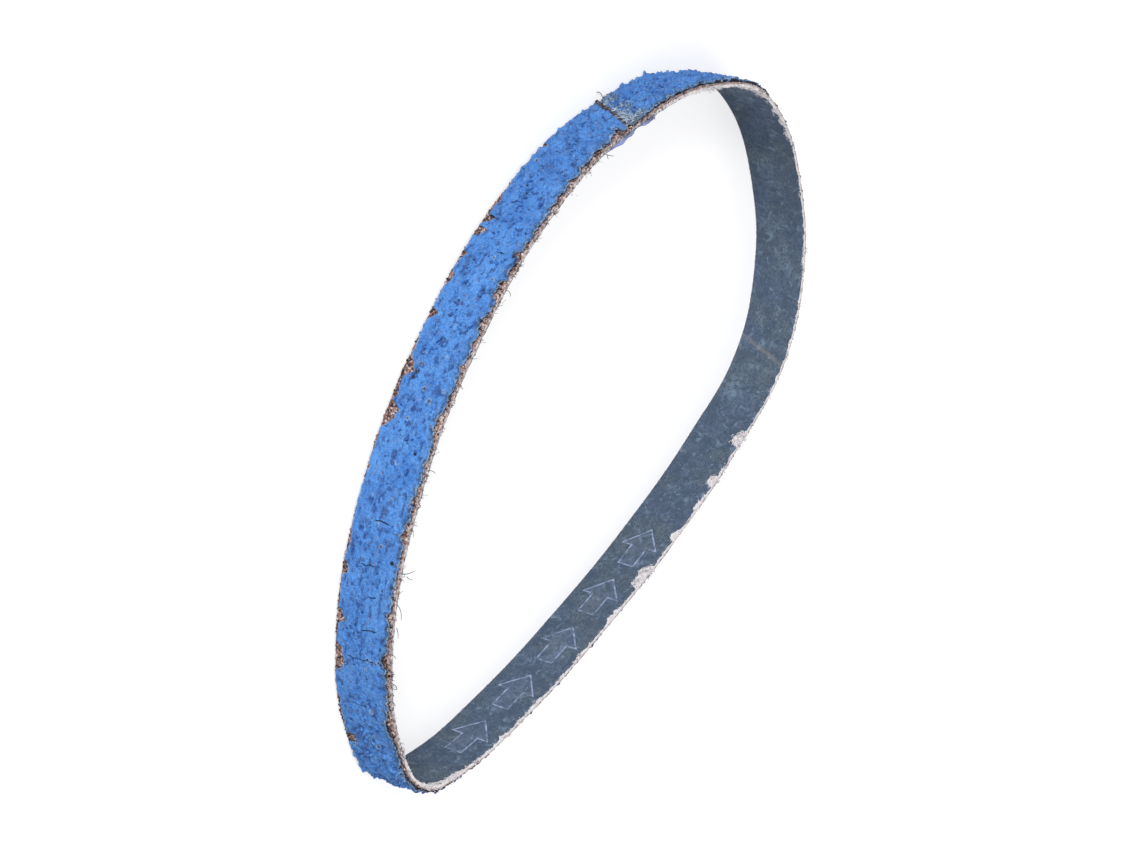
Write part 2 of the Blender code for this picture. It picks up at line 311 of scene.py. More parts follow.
class BeltColours(PropertyGroup):
    """The colours that the materials mix."""

    blue: colour_property("Blue", "Grain coat", srgb(68, 134, 216))
    # Crest: lighter patches of the coat, partly rubbed tops and partly painted highlight.
    crest_highlight: colour_property("Crest", "Rubbed tops of the grain coat", srgb(90, 158, 238))
    # Hollow: painted shade in the coat's dents, between its teeth, in its shaded crinkle lines and
    # on its walls; it also darkens the film's rim and some grains.
    hollow: colour_property("Hollow", "Dents in the grain coat", srgb(36, 78, 150))
    # Pit: painted shade inside the pits.
    pit: colour_property("Pit", "Inside the small pits", srgb(50, 46, 62))
    # Rim: painted highlight on the coat's edges, its pit rims and its lit crinkle lines.
    rim: colour_property("Rim", "Thin light edge of the coat", srgb(164, 190, 216))
    scuff: colour_property("Scuff", "Ground stretch before the splice", srgb(90, 118, 144))
    gap: colour_property("Gap", "Shaded gap under the coat's lip", srgb(24, 26, 38))
    resin: colour_property("Resin", "Make coat", srgb(153, 118, 112))
    resin_dark: colour_property("Dark resin", "Deep places in the make coat", srgb(78, 52, 48))
    resin_pale: colour_property("Pale crumbs", "Dust on the make coat", srgb(210, 194, 190))
    slate: colour_property("Slate", "Inner face of the cloth", srgb(97, 112, 135))
    # Dark slate: painted shade in the weave's hollows, and the darker random mottle and clouds.
    slate_dark: colour_property("Dark slate", "Hollows of the weave", srgb(68, 83, 103))
    slate_worn: colour_property("Worn slate", "Greyer places on the cloth", srgb(102, 114, 124))
    curl: colour_property("Curl", "Shavings at the splice", srgb(192, 208, 222))
    smear: colour_property("Smear", "Rubbed marks on the cloth", srgb(134, 156, 178))
    crease: colour_property("Crease", "Slanting crease in the cloth", srgb(134, 132, 132))
    fibre: colour_property("Fibre", "Frayed cotton", srgb(230, 226, 229))
    fibre_dark: colour_property("Stained fibre", "Frayed cotton with resin on it", srgb(104, 82, 78))
    thread: colour_property("Thread", "Loose threads", srgb(104, 108, 114))
    ink: colour_property("Ink", "Backing print", srgb(158, 170, 206))
    film: colour_property("Film", "Splice film, past the cloth's edge", srgb(134, 154, 217))
    film_bonded: colour_property("Bonded film", "Splice film on the cloth", srgb(98, 111, 152))
    floor: colour_property("Floor", "Floor and backdrop", srgb(205, 205, 207))


class BeltStage(PropertyGroup):
    """Where the camera stands, and how the light falls."""

    azimuth: angle_property("Azimuth", "Camera's bearing; 0 looks along +Y", 40.12)
    elevation: angle_property("Elevation", "Camera's height above the horizon", 28.62)
    roll: angle_property("Roll", "Turn of the camera about its own axis", 105.27)
    distance: length_property("Distance", "From the camera to the point that it looks at", 0.5173)
    lens: FloatProperty(
        name="Lens", description="Focal length on a 36 mm sensor", default=76.26, unit="CAMERA",
    )
    target: FloatVectorProperty(
        name="Target", description="Point at the middle of the picture", size=3,
        default=(-0.00067, 0.01231, 0), unit="LENGTH", subtype="TRANSLATION",
    )
    sky: factor_property("Sky", "Strength of the even light from all round", 0.42)
    key: factor_property("Key", "Power of the broad lamp beside the camera, in watts", 6.6)
    fill: factor_property("Fill", "Power of the lamp above, in watts", 2.0)
    back: factor_property("Back", "Power of the broad lamp behind the belt, in watts", 5.0)


class Loop:
    """The closed line that the belt follows, and the bending of flat points round it."""

    def __init__(self, sizes):
        line = self.outline_points()
        step = np.linalg.norm(np.diff(line, axis=0, append=line[:1]), axis=1)
        scale = sizes.length / step.sum()
        line *= scale
        self.length = sizes.length
        self.line = np.vstack([line, line[:1]])
        self.mark = np.concatenate([[0], np.cumsum(step * scale)])
        ahead = np.roll(line, -1, axis=0) - np.roll(line, 1, axis=0)
        ahead /= np.linalg.norm(ahead, axis=1)[:, None]
        side = np.column_stack([ahead[:, 1], -ahead[:, 0]])
        self.side = np.vstack([side, side[:1]])
        self.shift = self.to_the_solids(sizes)

    @staticmethod
    def outline_points():
        curve = bpy.data.curves.new("belt_path", "CURVE")
        curve.dimensions = "3D"
        spline = curve.splines.new("BEZIER")
        spline.bezier_points.add(len(LOOP_OUTLINE) - 1)
        spline.use_cyclic_u = True
        for point, (x, y) in zip(spline.bezier_points, LOOP_OUTLINE):
            point.handle_left_type = "AUTO"
            point.handle_right_type = "AUTO"
            point.co = (x * MM, y * MM, 0)
        points = list(spline.bezier_points)
        line = []
        for a, b in zip(points[-1:] + points[:-1], points):
            arc = interpolate_bezier(a.co, a.handle_right, b.handle_left, b.co, STEPS_PER_POINT + 1)
            line += [(p.x, p.y) for p in arc[:-1]]
        bpy.data.curves.remove(curve)
        return np.array(line)

    def to_the_solids(self, sizes):
        """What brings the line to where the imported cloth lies."""
        faces = [self.line + self.side * out for out in (-sizes.cloth / 2, sizes.cloth / 2)]
        corners = np.vstack(faces)
        middle = (corners.min(0) + corners.max(0)) / 2
        low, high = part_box("cloth_backing")
        return np.array([(low.x + high.x) / 2, (low.y + high.y) / 2]) - middle

    def wrap(self, flat):
        along = np.mod(flat[:, 0], self.length)
        line = [np.interp(along, self.mark, self.line[:, axis]) for axis in (0, 1)]
        side = [np.interp(along, self.mark, self.side[:, axis]) for axis in (0, 1)]
        x = line[0] + side[0] * flat[:, 2] + self.shift[0]
        y = line[1] + side[1] * flat[:, 2] + self.shift[1]
        return np.column_stack([x, y, flat[:, 1]])


def smooth_noise(along, across, pitch, seed):
    """Noise from -1 to 1 over the flat belt, with one free value for each pitch."""
    lattice = np.random.default_rng(seed).uniform(-1, 1, (512, 64))
    u, v = np.broadcast_arrays(np.asarray(along) / pitch + 40, np.asarray(across) / pitch + 8)
    i, j = np.floor(u).astype(int), np.floor(v).astype(int)
    s, t = u - i, v - j
    s, t = s * s * (3 - 2 * s), t * t * (3 - 2 * t)
    low = lattice[i % 512, j % 64] * (1 - s) + lattice[(i + 1) % 512, j % 64] * s
    high = lattice[i % 512, (j + 1) % 64] * (1 - s) + lattice[(i + 1) % 512, (j + 1) % 64] * s
    return low * (1 - t) + high * t


def uneven(kind, along, across=0):
    """Noise of one kind: smooth noise with finer and weaker copies on top."""
    pitch, seed, layers = NOISES[kind]
    total = sum(smooth_noise(along, across, pitch / 2**k, seed + k) / 2**k for k in range(layers))
    return total / sum(1 / 2**k for k in range(layers))


def ease(value, low, high):
    """0 below low, 1 above high, and smooth in between."""
    share = np.clip((value - low) / (high - low), 0, 1)
    return share * share * (3 - 2 * share)


def stations(sizes, pitch, extra=()):
    """Places along the belt, from one cut end to the other."""
    ends = sizes.splice_gap / 2
    even = np.linspace(ends, sizes.length - ends, round(sizes.length / pitch) + 1)
    for place in extra:
        even = even[np.abs(even - place) > pitch * 0.45]
    return np.sort(np.concatenate([even, np.array(extra, float)]))


def slant_shift(sizes, along, across):
    """Leans the cross lines near both ends until they lie along the splice."""
    blend = 2 * sizes.slant
    near = np.clip(1 - along / blend, 0, 1) + np.clip(1 - (sizes.length - along) / blend, 0, 1)
    return sizes.slant * (across / sizes.width - 0.5) * near


def strip_mesh(name, along, across, out):
    """A closed strip from its cross-sections: one row of points for each station, in order
    round the section from the low edge over the top to the high edge."""
    rows, points = along.shape
    flat = np.stack([along, across, out], axis=-1).reshape(-1, 3)
    index = np.arange(rows * points).reshape(rows, points)
    turned = np.roll(index, -1, axis=1)
    quads = np.stack([index[:-1], index[1:], turned[1:], turned[:-1]], axis=-1).reshape(-1, 4)
    faces = quads.tolist() + [index[0].tolist(), index[-1][::-1].tolist()]
    mesh = bpy.data.meshes.new(name)
    mesh.from_pydata(flat.tolist(), [], faces)
    return mesh


def keep_values(mesh, **values):
    """Stores named values on the points of a mesh."""
    for name, value in values.items():
        attribute = mesh.attributes.new(name, "FLOAT", "POINT")
        attribute.data.foreach_set("value", np.ascontiguousarray(value, np.float32).ravel())


def flat_points(mesh):
    flat = np.empty(len(mesh.vertices) * 3, np.float32)
    mesh.vertices.foreach_get("co", flat)
    return flat.reshape(-1, 3).astype(float)


def settle(mesh, finish, loop, replaces=(), smooth_below=50):
    """Wraps a flat mesh round the loop and makes it a piece of the belt."""
    flat = flat_points(mesh)
    kept = mesh.attributes.new(FLAT, "FLOAT_VECTOR", "POINT")
    kept.data.foreach_set("vector", (flat / MM).astype(np.float32).ravel())
    mesh.vertices.foreach_set("co", loop.wrap(flat).astype(np.float32).ravel())
    mesh.materials.clear()
    mesh.materials.append(finish)
    mesh.shade_smooth()
    mesh.set_sharp_from_angle(angle=math.radians(smooth_below))
    mesh.update()
    piece = bpy.data.objects.new(mesh.name, mesh)
    bpy.context.scene.collection.objects.link(piece)
    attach(piece, "root")
    if replaces:
        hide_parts(*replaces)
    return piece


class Finish:
    """One procedural material: short calls add its nodes and link them."""

    def __init__(self, name, **sockets):
        self.material = bpy.data.materials.new(name)
        self.material.use_nodes = True
        self.nodes = self.material.node_tree.nodes
        self.links = self.material.node_tree.links
        self.shader = self.nodes["Principled BSDF"]
        for socket, value in sockets.items():
            self.feed(self.shader.inputs[socket.replace("_", " ")], value)
        self.flat = self.value(FLAT, "Vector")

    def feed(self, socket, value):
        if isinstance(value, bpy.types.NodeSocket):
            self.links.new(value, socket)
        elif socket.type == "RGBA":
            socket.default_value = (*value[:3], 1)
        else:
            socket.default_value = value

    def add(self, kind, inputs, **settings):
        node = self.nodes.new(kind)
        for setting, value in settings.items():
            setattr(node, setting, value)
        for socket, value in inputs.items():
            self.feed(node.inputs[socket], value)
        return node

    def value(self, name, output="Fac"):
        return self.add("ShaderNodeAttribute", {}, attribute_name=name).outputs[output]

    def part(self, axis):
        """One part of the flat place, in millimetres: 0 along, 1 across, 2 outwards."""
        return self.add("ShaderNodeSeparateXYZ", {0: self.flat}).outputs[axis]

    def seam(self, length):
        """1 at the splice of a belt of this length, fading out to either side of it."""
        fade_start, fade_end = 2.5, 5.0
        length /= MM
        along = self.part(0)
        before = self.step(along, fade_end, fade_start)
        return self.plus(before, self.step(along, length - fade_end, length - fade_start))

    def stretched(self, along, across):
        """The flat place, squeezed so that a pattern on it is drawn out."""
        scaled = {0: self.flat, 1: (1 / along, 1 / across, 1)}
        return self.add("ShaderNodeVectorMath", scaled, operation="MULTIPLY").outputs[0]

    def noise(self, pitch, detail=3, roughness=0.55, distortion=0, place=None):
        inputs = {
            "Vector": place or self.flat, "Scale": 1 / pitch, "Detail": detail,
            "Roughness": roughness, "Distortion": distortion,
        }
        return self.add("ShaderNodeTexNoise", inputs).outputs[0]

    def pits(self, pitch, radius, share):
        """Round pits in a share of the cells: how far inside one a point lies, and on its rim."""
        node = self.add("ShaderNodeTexVoronoi", {"Vector": self.flat, "Scale": 1 / pitch})
        chance = self.add("ShaderNodeSeparateColor", {0: node.outputs["Color"]})
        chosen = self.step(chance.outputs[0], 1 - share, 1.01 - share)
        least, most = 0.7 * radius / pitch, 1.4 * radius / pitch
        size = self.step(chance.outputs[1], 0, 1, least, most)
        ragged = self.step(self.noise(0.35, 2), 0.2, 0.8, 0.6, 1.4)
        apart = self.math("DIVIDE", node.outputs["Distance"], self.times(size, ragged))
        inside = self.times(self.step(apart, 1.0, 0.6), chosen)
        rim = self.times(self.step(apart, 1.7, 1.2), chosen)
        return inside, self.math("SUBTRACT", rim, inside)

    def bands(self, pitch, direction, distortion=0):
        """Ridges that repeat each pitch along X, Y or the diagonal."""
        inputs = {
            "Vector": self.flat, "Scale": math.pi / (10 * pitch), "Distortion": distortion,
            "Detail": 1, "Detail Scale": 2,
        }
        return self.add("ShaderNodeTexWave", inputs, bands_direction=direction).outputs["Fac"]

    def step(self, value, low, high, start=0, end=1):
        """Start below low, end above high, and smooth in between."""
        inputs = {
            "Value": value, "From Min": low, "From Max": high, "To Min": start, "To Max": end,
        }
        node = self.add("ShaderNodeMapRange", inputs, interpolation_type="SMOOTHSTEP")
        return node.outputs["Result"]

    def peak(self, value, middle, half):
        """1 where a value is at the middle, 0 from half above or below it."""
        off = self.math("ABSOLUTE", self.math("SUBTRACT", value, middle))
        return self.step(off, half, 0)

    def math(self, operation, a, b=0):
        return self.add("ShaderNodeMath", {0: a, 1: b}, operation=operation).outputs[0]

    def plus(self, a, b):
        return self.math("ADD", a, b)

    def times(self, a, b):
        return self.math("MULTIPLY", a, b)

    def mix(self, share, a, b, blend="MIX"):
        node = self.add(
            "ShaderNodeMix", {0: share, 6: a, 7: b}, data_type="RGBA", blend_type=blend,
        )
        return node.outputs[2]

    def emboss(self, height, depth, strength=1):
        """Feeds the shader's normal from a height; depth is in metres."""
        bump = self.add(
            "ShaderNodeBump", {"Strength": strength, "Distance": depth, "Height": height},
        )
        self.feed(self.shader.inputs["Normal"], bump.outputs[0])

    def paint(self, colour):
        self.feed(self.shader.inputs["Base Color"], colour)
        return self.material


def blue_coat_finish(colours):
    """Size-coated grain: blue, with painted shade in its dents, pits, cracks and gaps, painted
    highlights on its rims and in part on its broad patches, flecks and a worn end.
    """
    finish = Finish("blue_grain_coat", Roughness=0.6, Specular_IOR_Level=0.35)
    # Lighter broad patches: partly rubbed coat and partly painted highlight.
    broad = finish.step(finish.noise(5, 4, 0.6), 0.32, 0.68)
    colour = finish.mix(broad, colours.blue, colours.crest_highlight)
    # Painted shade in the dents, darker where the hollow value and the noise are high.
    uneven = finish.times(finish.noise(0.45, 4, 0.7), 1.8)
    dents = finish.plus(finish.value("hollow"), uneven)
    colour = finish.mix(finish.step(dents, 1.10, 1.90, 0, 0.85), colour, colours.hollow)
    # Fine speckles of painted shade and painted highlight, multiplied into the colour.
    speckle = finish.step(finish.noise(0.42, 4, 0.7), 0.36, 0.64)
    shade = finish.mix(speckle, (0.68, 0.72, 0.79), (1.18, 1.14, 1.08))
    colour = finish.mix(1, colour, shade, "MULTIPLY")
    crinkle = finish.noise(1.1, 4, 0.72, 0.9)
    shaded = finish.peak(crinkle, 0.455, 0.026)
    colour = finish.mix(finish.times(shaded, 0.75), colour, colours.hollow)
    lit = finish.peak(crinkle, 0.505, 0.022)
    colour = finish.mix(finish.times(lit, 0.38), colour, colours.rim)
    # Short dents drawn out along the belt, with painted shade in them; they are sunk in the bump
    # too.
    notch = finish.noise(1.5, 4, 0.62, 0.5, place=finish.stretched(1.5, 1))
    notched = finish.step(notch, 0.55, 0.76, 0, 0.80)
    colour = finish.mix(notched, colour, colours.hollow)
    # Small pits, with painted shade inside them.
    small, _ = finish.pits(1.1, 0.13, 0.40)
    colour = finish.mix(finish.times(small, 0.7), colour, colours.pit)
    # Large pits: a painted highlight on each rim; inside, patches of bare brown resin and of painted
    # shade.
    large, rim = finish.pits(2.2, 0.27, 0.36)
    colour = finish.mix(finish.times(rim, 0.5), colour, colours.rim)
    stain_and_shade = finish.mix(finish.step(finish.noise(1.7, 2), 0.42, 0.55), colours.resin, colours.pit)
    colour = finish.mix(finish.times(large, 0.85), colour, stain_and_shade)
    fleck = finish.noise(0.5, 2, place=finish.stretched(1.4, 1))
    fleck = finish.step(fleck, 0.64, 0.74, 0, 0.55)
    colour = finish.mix(fleck, colour, colours.resin)
    # Near the near edge and the splice: pale worn flakes, and black spots of painted shade in the
    # gaps under the lip.
    worn = finish.value("worn")
    flaked = finish.times(worn, finish.step(finish.noise(0.6, 4, 0.7), 0.40, 0.60))
    colour = finish.mix(finish.times(flaked, 0.75), colour, colours.scuff)
    gap_shade = finish.times(worn, finish.step(finish.noise(0.9, 4, 0.7, 0.6), 0.49, 0.57))
    colour = finish.mix(finish.times(gap_shade, 0.95), colour, colours.gap)
    # Painted highlight along the coat's edges, broken up by noise.
    broken = finish.step(finish.noise(0.7, 3), 0.40, 0.60)
    colour = finish.mix(finish.times(finish.value("thin"), broken), colour, colours.rim)
    # The scuffed stretch: pale lines of shavings, with lines of painted shade beside them.
    swirl = finish.noise(1.0, 4, 0.7, 2.2)
    ground = finish.mix(finish.step(finish.noise(0.8, 4, 0.7), 0.42, 0.60), colours.scuff, colour)
    ground = finish.mix(finish.peak(swirl, 0.56, 0.035), ground, colours.curl)
    ground = finish.mix(finish.peak(swirl, 0.46, 0.06), ground, colours.gap)
    patches = finish.times(finish.noise(1.6, 3), 0.9)
    scuffed = finish.step(finish.plus(finish.value("scuff"), patches), 0.50, 0.85, 0, 0.95)
    colour = finish.mix(scuffed, colour, ground)
    crumbs = finish.times(finish.noise(0.5, 3), 0.6)
    bare = finish.step(finish.plus(finish.value("bare"), crumbs), 0.75, 1.0)
    colour = finish.mix(bare, colour, colours.resin)
    # Painted shade: the gap colour where the dark value is high, in pits, craters, cracks and on the
    # coat's walls.
    feathered = finish.times(finish.noise(0.35, 3, 0.6), 0.9)
    dark = finish.step(finish.plus(finish.value("dark"), feathered), 0.62, 1.05, 0, 0.95)
    colour = finish.mix(dark, colour, colours.gap)
    fine = finish.plus(finish.noise(0.3, 4, 0.65), finish.noise(0.9, 2))
    sunk = finish.plus(large, finish.times(notched, 0.7))
    finish.emboss(finish.math("SUBTRACT", fine, sunk), 0.00036, 1)
    return finish.paint(colour)


def resin_finish(colours, sizes):
    """The make coat laid bare: reddish brown, granular, with pale crumbs."""
    finish = Finish("brown_make_coat", Roughness=0.85, Specular_IOR_Level=0.25)
    deep = finish.step(finish.noise(0.7, 4, 0.6), 0.42, 0.56)
    colour = finish.mix(deep, colours.resin_dark, colours.resin)
    near_edge = sizes.width / MM
    rubbed = finish.step(finish.part(1), near_edge - 2.2, near_edge - 0.4, 0, 0.05)
    crumbs = finish.plus(finish.noise(0.5, 4, 0.7, 0.8), rubbed)
    colour = finish.mix(finish.step(crumbs, 0.52, 0.60, 0, 0.9), colour, colours.resin_pale)
    patches = finish.step(finish.noise(0.8, 3, 0.6), 0.40, 0.55, 0, 0.85)
    burnt = finish.times(finish.seam(sizes.length), patches)
    colour = finish.mix(burnt, colour, colours.gap)
    finish.emboss(finish.noise(0.3, 4, 0.7), 0.00012, 0.8)
    return finish.paint(colour)


def cloth_finish(colours):
    """Slate cloth with a fine weave, painted shade in its hollows, rubbed marks, a crease, faint
    print and frayed edges.
    """
    finish = Finish("slate_cloth", Roughness=0.9, Specular_IOR_Level=0.2)
    ribs = finish.times(finish.bands(RIB_PITCH, "Y", 1.6), 0.5)
    twill = finish.times(finish.bands(TWILL_PITCH, "DIAGONAL", 2.2), 0.5)
    weave = finish.plus(ribs, twill)
    worn = finish.step(finish.noise(14, 3), 0.42, 0.60)
    tone = finish.mix(worn, colours.slate, colours.slate_worn)
    mottle = finish.noise(0.55, 4, 0.7)
    # Darker where the weave dips, which is painted shade, and where the random mottle is low.
    grey = finish.plus(finish.times(weave, 0.16), mottle)
    colour = finish.mix(finish.step(grey, 0.40, 0.72), colours.slate_dark, tone)
    cloud = finish.step(finish.noise(4, 5, 0.65), 0.40, 0.64, 0, 0.62)
    colour = finish.mix(cloud, colour, colours.slate_dark)
    wisps = finish.step(finish.noise(2.2, 5, 0.65, 1.0), 0.54, 0.70, 0, 0.62)
    colour = finish.mix(wisps, colour, colours.smear)
    broken = finish.step(finish.noise(1.1, 4, 0.6), 0.36, 0.62)
    rubbed = finish.times(finish.value("smear"), broken)
    colour = finish.mix(finish.times(rubbed, 0.8), colour, colours.smear)
    broken = finish.step(finish.noise(0.9, 3), 0.2, 0.6)
    crease = finish.times(finish.value("crease"), broken)
    colour = finish.mix(finish.times(crease, 0.6), colour, colours.crease)
    broken = finish.step(finish.noise(1.6, 3), 0.3, 0.7)
    inked = finish.times(finish.value("inked"), broken)
    colour = finish.mix(finish.times(inked, 0.14), colour, colours.ink)
    dust = finish.times(finish.value("stain"), 0.35)
    stain_and_shade = finish.plus(finish.noise(0.8, 4, 0.65), dust)
    cotton = finish.mix(finish.step(stain_and_shade, 0.64, 0.88, 0, 0.8), colours.fibre, colours.fibre_dark)
    specks = finish.step(finish.noise(0.8, 4, 0.7), 0.56, 0.64, 0, 0.75)
    cotton = finish.mix(specks, cotton, colours.resin_dark)
    ragged = finish.times(finish.noise(0.45, 3), 0.5)
    frayed = finish.plus(finish.value("frayed"), ragged)
    colour = finish.mix(finish.step(frayed, 0.62, 0.80), colour, cotton)
    height = finish.plus(finish.times(weave, 0.6), mottle)
    finish.emboss(height, 0.00010, 0.8)
    return finish.paint(colour)


def fibre_finish(name, pale, dark):
    """Cotton fibres: each has a tint of its own, and the outer ones are the more stained."""
    finish = Finish(name, Roughness=0.95, Specular_IOR_Level=0.1)
    outer = finish.step(finish.part(2), -0.35, 0.35, 0, 0.35)
    stain_and_shade = finish.plus(finish.value("stain"), outer)
    stain_and_shade = finish.plus(finish.times(finish.value("tint"), 0.45), stain_and_shade)
    clumps = finish.step(finish.noise(0.9, 4, 0.65), 0.36, 0.58, -0.80, 0.45)
    stain_and_shade = finish.plus(clumps, stain_and_shade)
    return finish.paint(finish.mix(finish.step(stain_and_shade, 0.40, 1.30), pale, dark))


def crumb_finish(colours, sizes):
    """Crumbs of resin and grain, some dark, some brown and some pale."""
    finish = Finish("resin_crumbs", Roughness=0.85, Specular_IOR_Level=0.25)
    tint = finish.value("hollow")
    colour = finish.mix(finish.step(tint, 0.15, 0.45), colours.resin_dark, colours.resin)
    colour = finish.mix(finish.step(tint, 0.60, 0.85), colour, colours.resin_pale)
    finish.emboss(finish.noise(0.2, 3, 0.7), 0.00006, 0.6)
    soot = finish.times(finish.seam(sizes.length), 0.12)
    soot = finish.plus(finish.noise(1.2, 3, 0.6), soot)
    sooty = finish.step(soot, 0.46, 0.60, 0, 0.85)
    return finish.paint(finish.mix(sooty, colour, colours.gap))


def ink_finish(colours):
    """Print that has worn away in places."""
    finish = Finish("worn_ink", Roughness=0.7, Specular_IOR_Level=0.3)
    worn = finish.step(finish.noise(1.3, 4, 0.65), 0.40, 0.60)
    return finish.paint(finish.mix(worn, colours.slate, colours.ink))


def film_finish(colours, sizes):
    """Thin plastic film: the cloth shows through it, and its free edge has a darker rim."""
    finish = Finish("splice_film", Roughness=0.25, IOR=1.45, Alpha=0.72)
    rim = finish.step(finish.value("rim"), 0.2, 1.0, 0, 0.45)
    near_edge = sizes.width / MM
    free = finish.step(finish.part(1), near_edge - 0.3, near_edge + 0.1)
    colour = finish.mix(free, colours.film_bonded, colours.film)
    clouded = finish.step(finish.noise(1.2, 3), 0.4, 0.7, 0, 0.45)
    colour = finish.mix(clouded, colour, colours.slate_dark)
    finish.emboss(finish.bands(RIB_PITCH, "Y", 1.6), 0.00004, 0.5)
    return finish.paint(finish.mix(rim, colour, colours.hollow))


def floor_finish(colours):
    """Pale floor. Its glow is seen straight, mirrored and through the film, but lights nothing,
    so the belt's shadow stays on it."""
    finish = Finish("pale_floor", Roughness=0.9, Specular_IOR_Level=0.1)
    place = finish.add("ShaderNodeTexCoord", {}).outputs["Object"]
    mottle = finish.noise(400, 2, place=place)
    away = finish.add("ShaderNodeVectorMath", {0: place}, operation="LENGTH").outputs["Value"]
    glow = finish.step(away, 0.25, 1.1, 0.56, 0.78)
    path = finish.add("ShaderNodeLightPath", {})
    seen = finish.math("MAXIMUM", path.outputs["Is Camera Ray"], path.outputs["Is Glossy Ray"])
    seen = finish.math("MAXIMUM", seen, path.outputs["Is Transmission Ray"])
    finish.feed(finish.shader.inputs["Emission Color"], (1, 1, 1))
    finish.feed(finish.shader.inputs["Emission Strength"], finish.times(seen, glow))
    mottle = finish.times(mottle, 0.01)
    return finish.paint(finish.mix(mottle, colours.floor, (1, 1, 1)))


def bite(along, chips, length):
    """How far the chips reach in from an edge: each is a bite with uneven, rounded sides."""
    depth = np.zeros_like(along)
    for share, size, reach in chips:
        place = (along - share * length) / (size / 2)
        peak = 0.45 * math.sin(share * 997)
        slope = np.minimum((place + 1) / (peak + 1), (1 - place) / (1 - peak))
        roundness = 0.5 + 0.4 * math.sin(share * 613) ** 2
        cut = np.clip(1.15 * np.clip(slope, 0, 1) ** roundness, 0, 1)
        depth = np.maximum(depth, reach * cut)
    return depth


def worn_chips():
    """Chips for both edges of the stretch that faces away."""
    chance = np.random.default_rng(WORN_SEED)
    drawn = [
        tuple(chance.uniform(*limits) for limits in WORN_RANGES) for _ in range(WORN_CHIPS)
    ]
    return drawn[::2], drawn[1::2]


def coat_edges(sizes, station):
    """Where the grain coat begins and ends across the belt, at each place along it."""
    far_gap, near_gap, least_gap, filled = 0.00024, 0.00042, 0.00012, 0.0002
    far_rough, near_rough, torn_off = 0.00045, 0.00048, 0.00036
    most_set_back, most_rubbed = 0.00045, 0.00040
    far_worn, near_worn = worn_chips()
    rough = 1 + 0.45 * uneven("chip sides", station)
    far = bite(station, FAR_CHIPS + tuple(far_worn), sizes.length) * rough
    near = bite(station, NEAR_CHIPS + tuple(near_worn), sizes.length) * rough
    torn = torn_off * uneven("torn edge", station)
    share = station / sizes.length
    open_edge = ease(share, 0.030, 0.060) * ease(-share, -0.97, -0.93)
    set_back = most_set_back * ease(uneven("set-back edge", station), -0.1, 0.4) * open_edge
    low = far_gap + set_back + far_rough * np.abs(uneven("far edge", station)) + far
    low = low + np.abs(torn) * 0.6 - filled * (1 - open_edge)
    rubbed = most_rubbed * ease(share, 0.395, 0.42) * ease(-share, -0.89, -0.86)
    high = sizes.width - near_gap - rubbed - near + torn
    high += near_rough * uneven("near edge", station)
    return low, np.minimum(high, sizes.width - least_gap)


def stamp(field, along, across, marks, shape):
    """Adds round marks to a field on a grid; each mark is (along, across, radius, height)."""
    column = along[:, along.shape[1] // 2]
    slack = 0.002
    for place, height_across, radius, height in marks:
        first, last = np.searchsorted(column, (place - radius - slack, place + radius + slack))
        if first == last:
            continue
        window = slice(first, last)
        apart = np.hypot(along[window] - place, across[window] - height_across) / radius
        shape(field[window], apart, height)


def raise_dome(field, apart, height):
    np.maximum(field, height * np.clip(1.25 * (1 - apart**1.6), 0, 1), out=field)


def sink_cup(field, apart, height):
    np.minimum(field, -height * np.clip(1.3 * (1 - apart**2), 0, 1), out=field)


def bend_factor(along, length):
    """How rough the coat stands: 1 at its two sharp bends, less at the splice, 0 elsewhere."""

    def nearness(place, middle, spread):
        return np.exp(-(((place - middle) / spread) ** 2))

    share = along / length
    bends = nearness(share, 0.355, 0.030) + nearness(share, 0.945, 0.045)
    splice = 0.7 * nearness(np.mod(share + 0.5, 1), 0.53, 0.06)
    return np.clip(bends + splice, 0, 1)


def coat_marks(sizes, detail):
    """Grains, pits and spikes, drawn from the seed: place along and across, radius, height."""
    chance = np.random.default_rng(detail.seed)
    grains = np.column_stack([
        chance.uniform(0, sizes.length, detail.grains),
        chance.uniform(0, sizes.width, detail.grains),
        chance.uniform(*GRAIN_RADII, detail.grains),
        chance.uniform(0.15, 1.0, detail.grains) * detail.grain,
    ])
    crowded = detail.pits // 9
    count = detail.pits + crowded
    pits = np.column_stack([
        np.concatenate([
            chance.uniform(0, sizes.length, detail.pits),
            chance.uniform(*PITTED_STRETCH, crowded),
        ]),
        chance.uniform(0.0007, sizes.width - 0.001, count),
        chance.uniform(*PIT_RADII, count),
        chance.uniform(0.5, 1.0, count),
    ])
    spikes = np.column_stack([
        chance.uniform(0, sizes.length, detail.spikes),
        chance.uniform(0, sizes.width, detail.spikes),
        chance.uniform(*SPIKE_RADII, detail.spikes),
        chance.uniform(0.3, 1.0, detail.spikes) * detail.tooth,
    ])
    return grains, pits, spikes


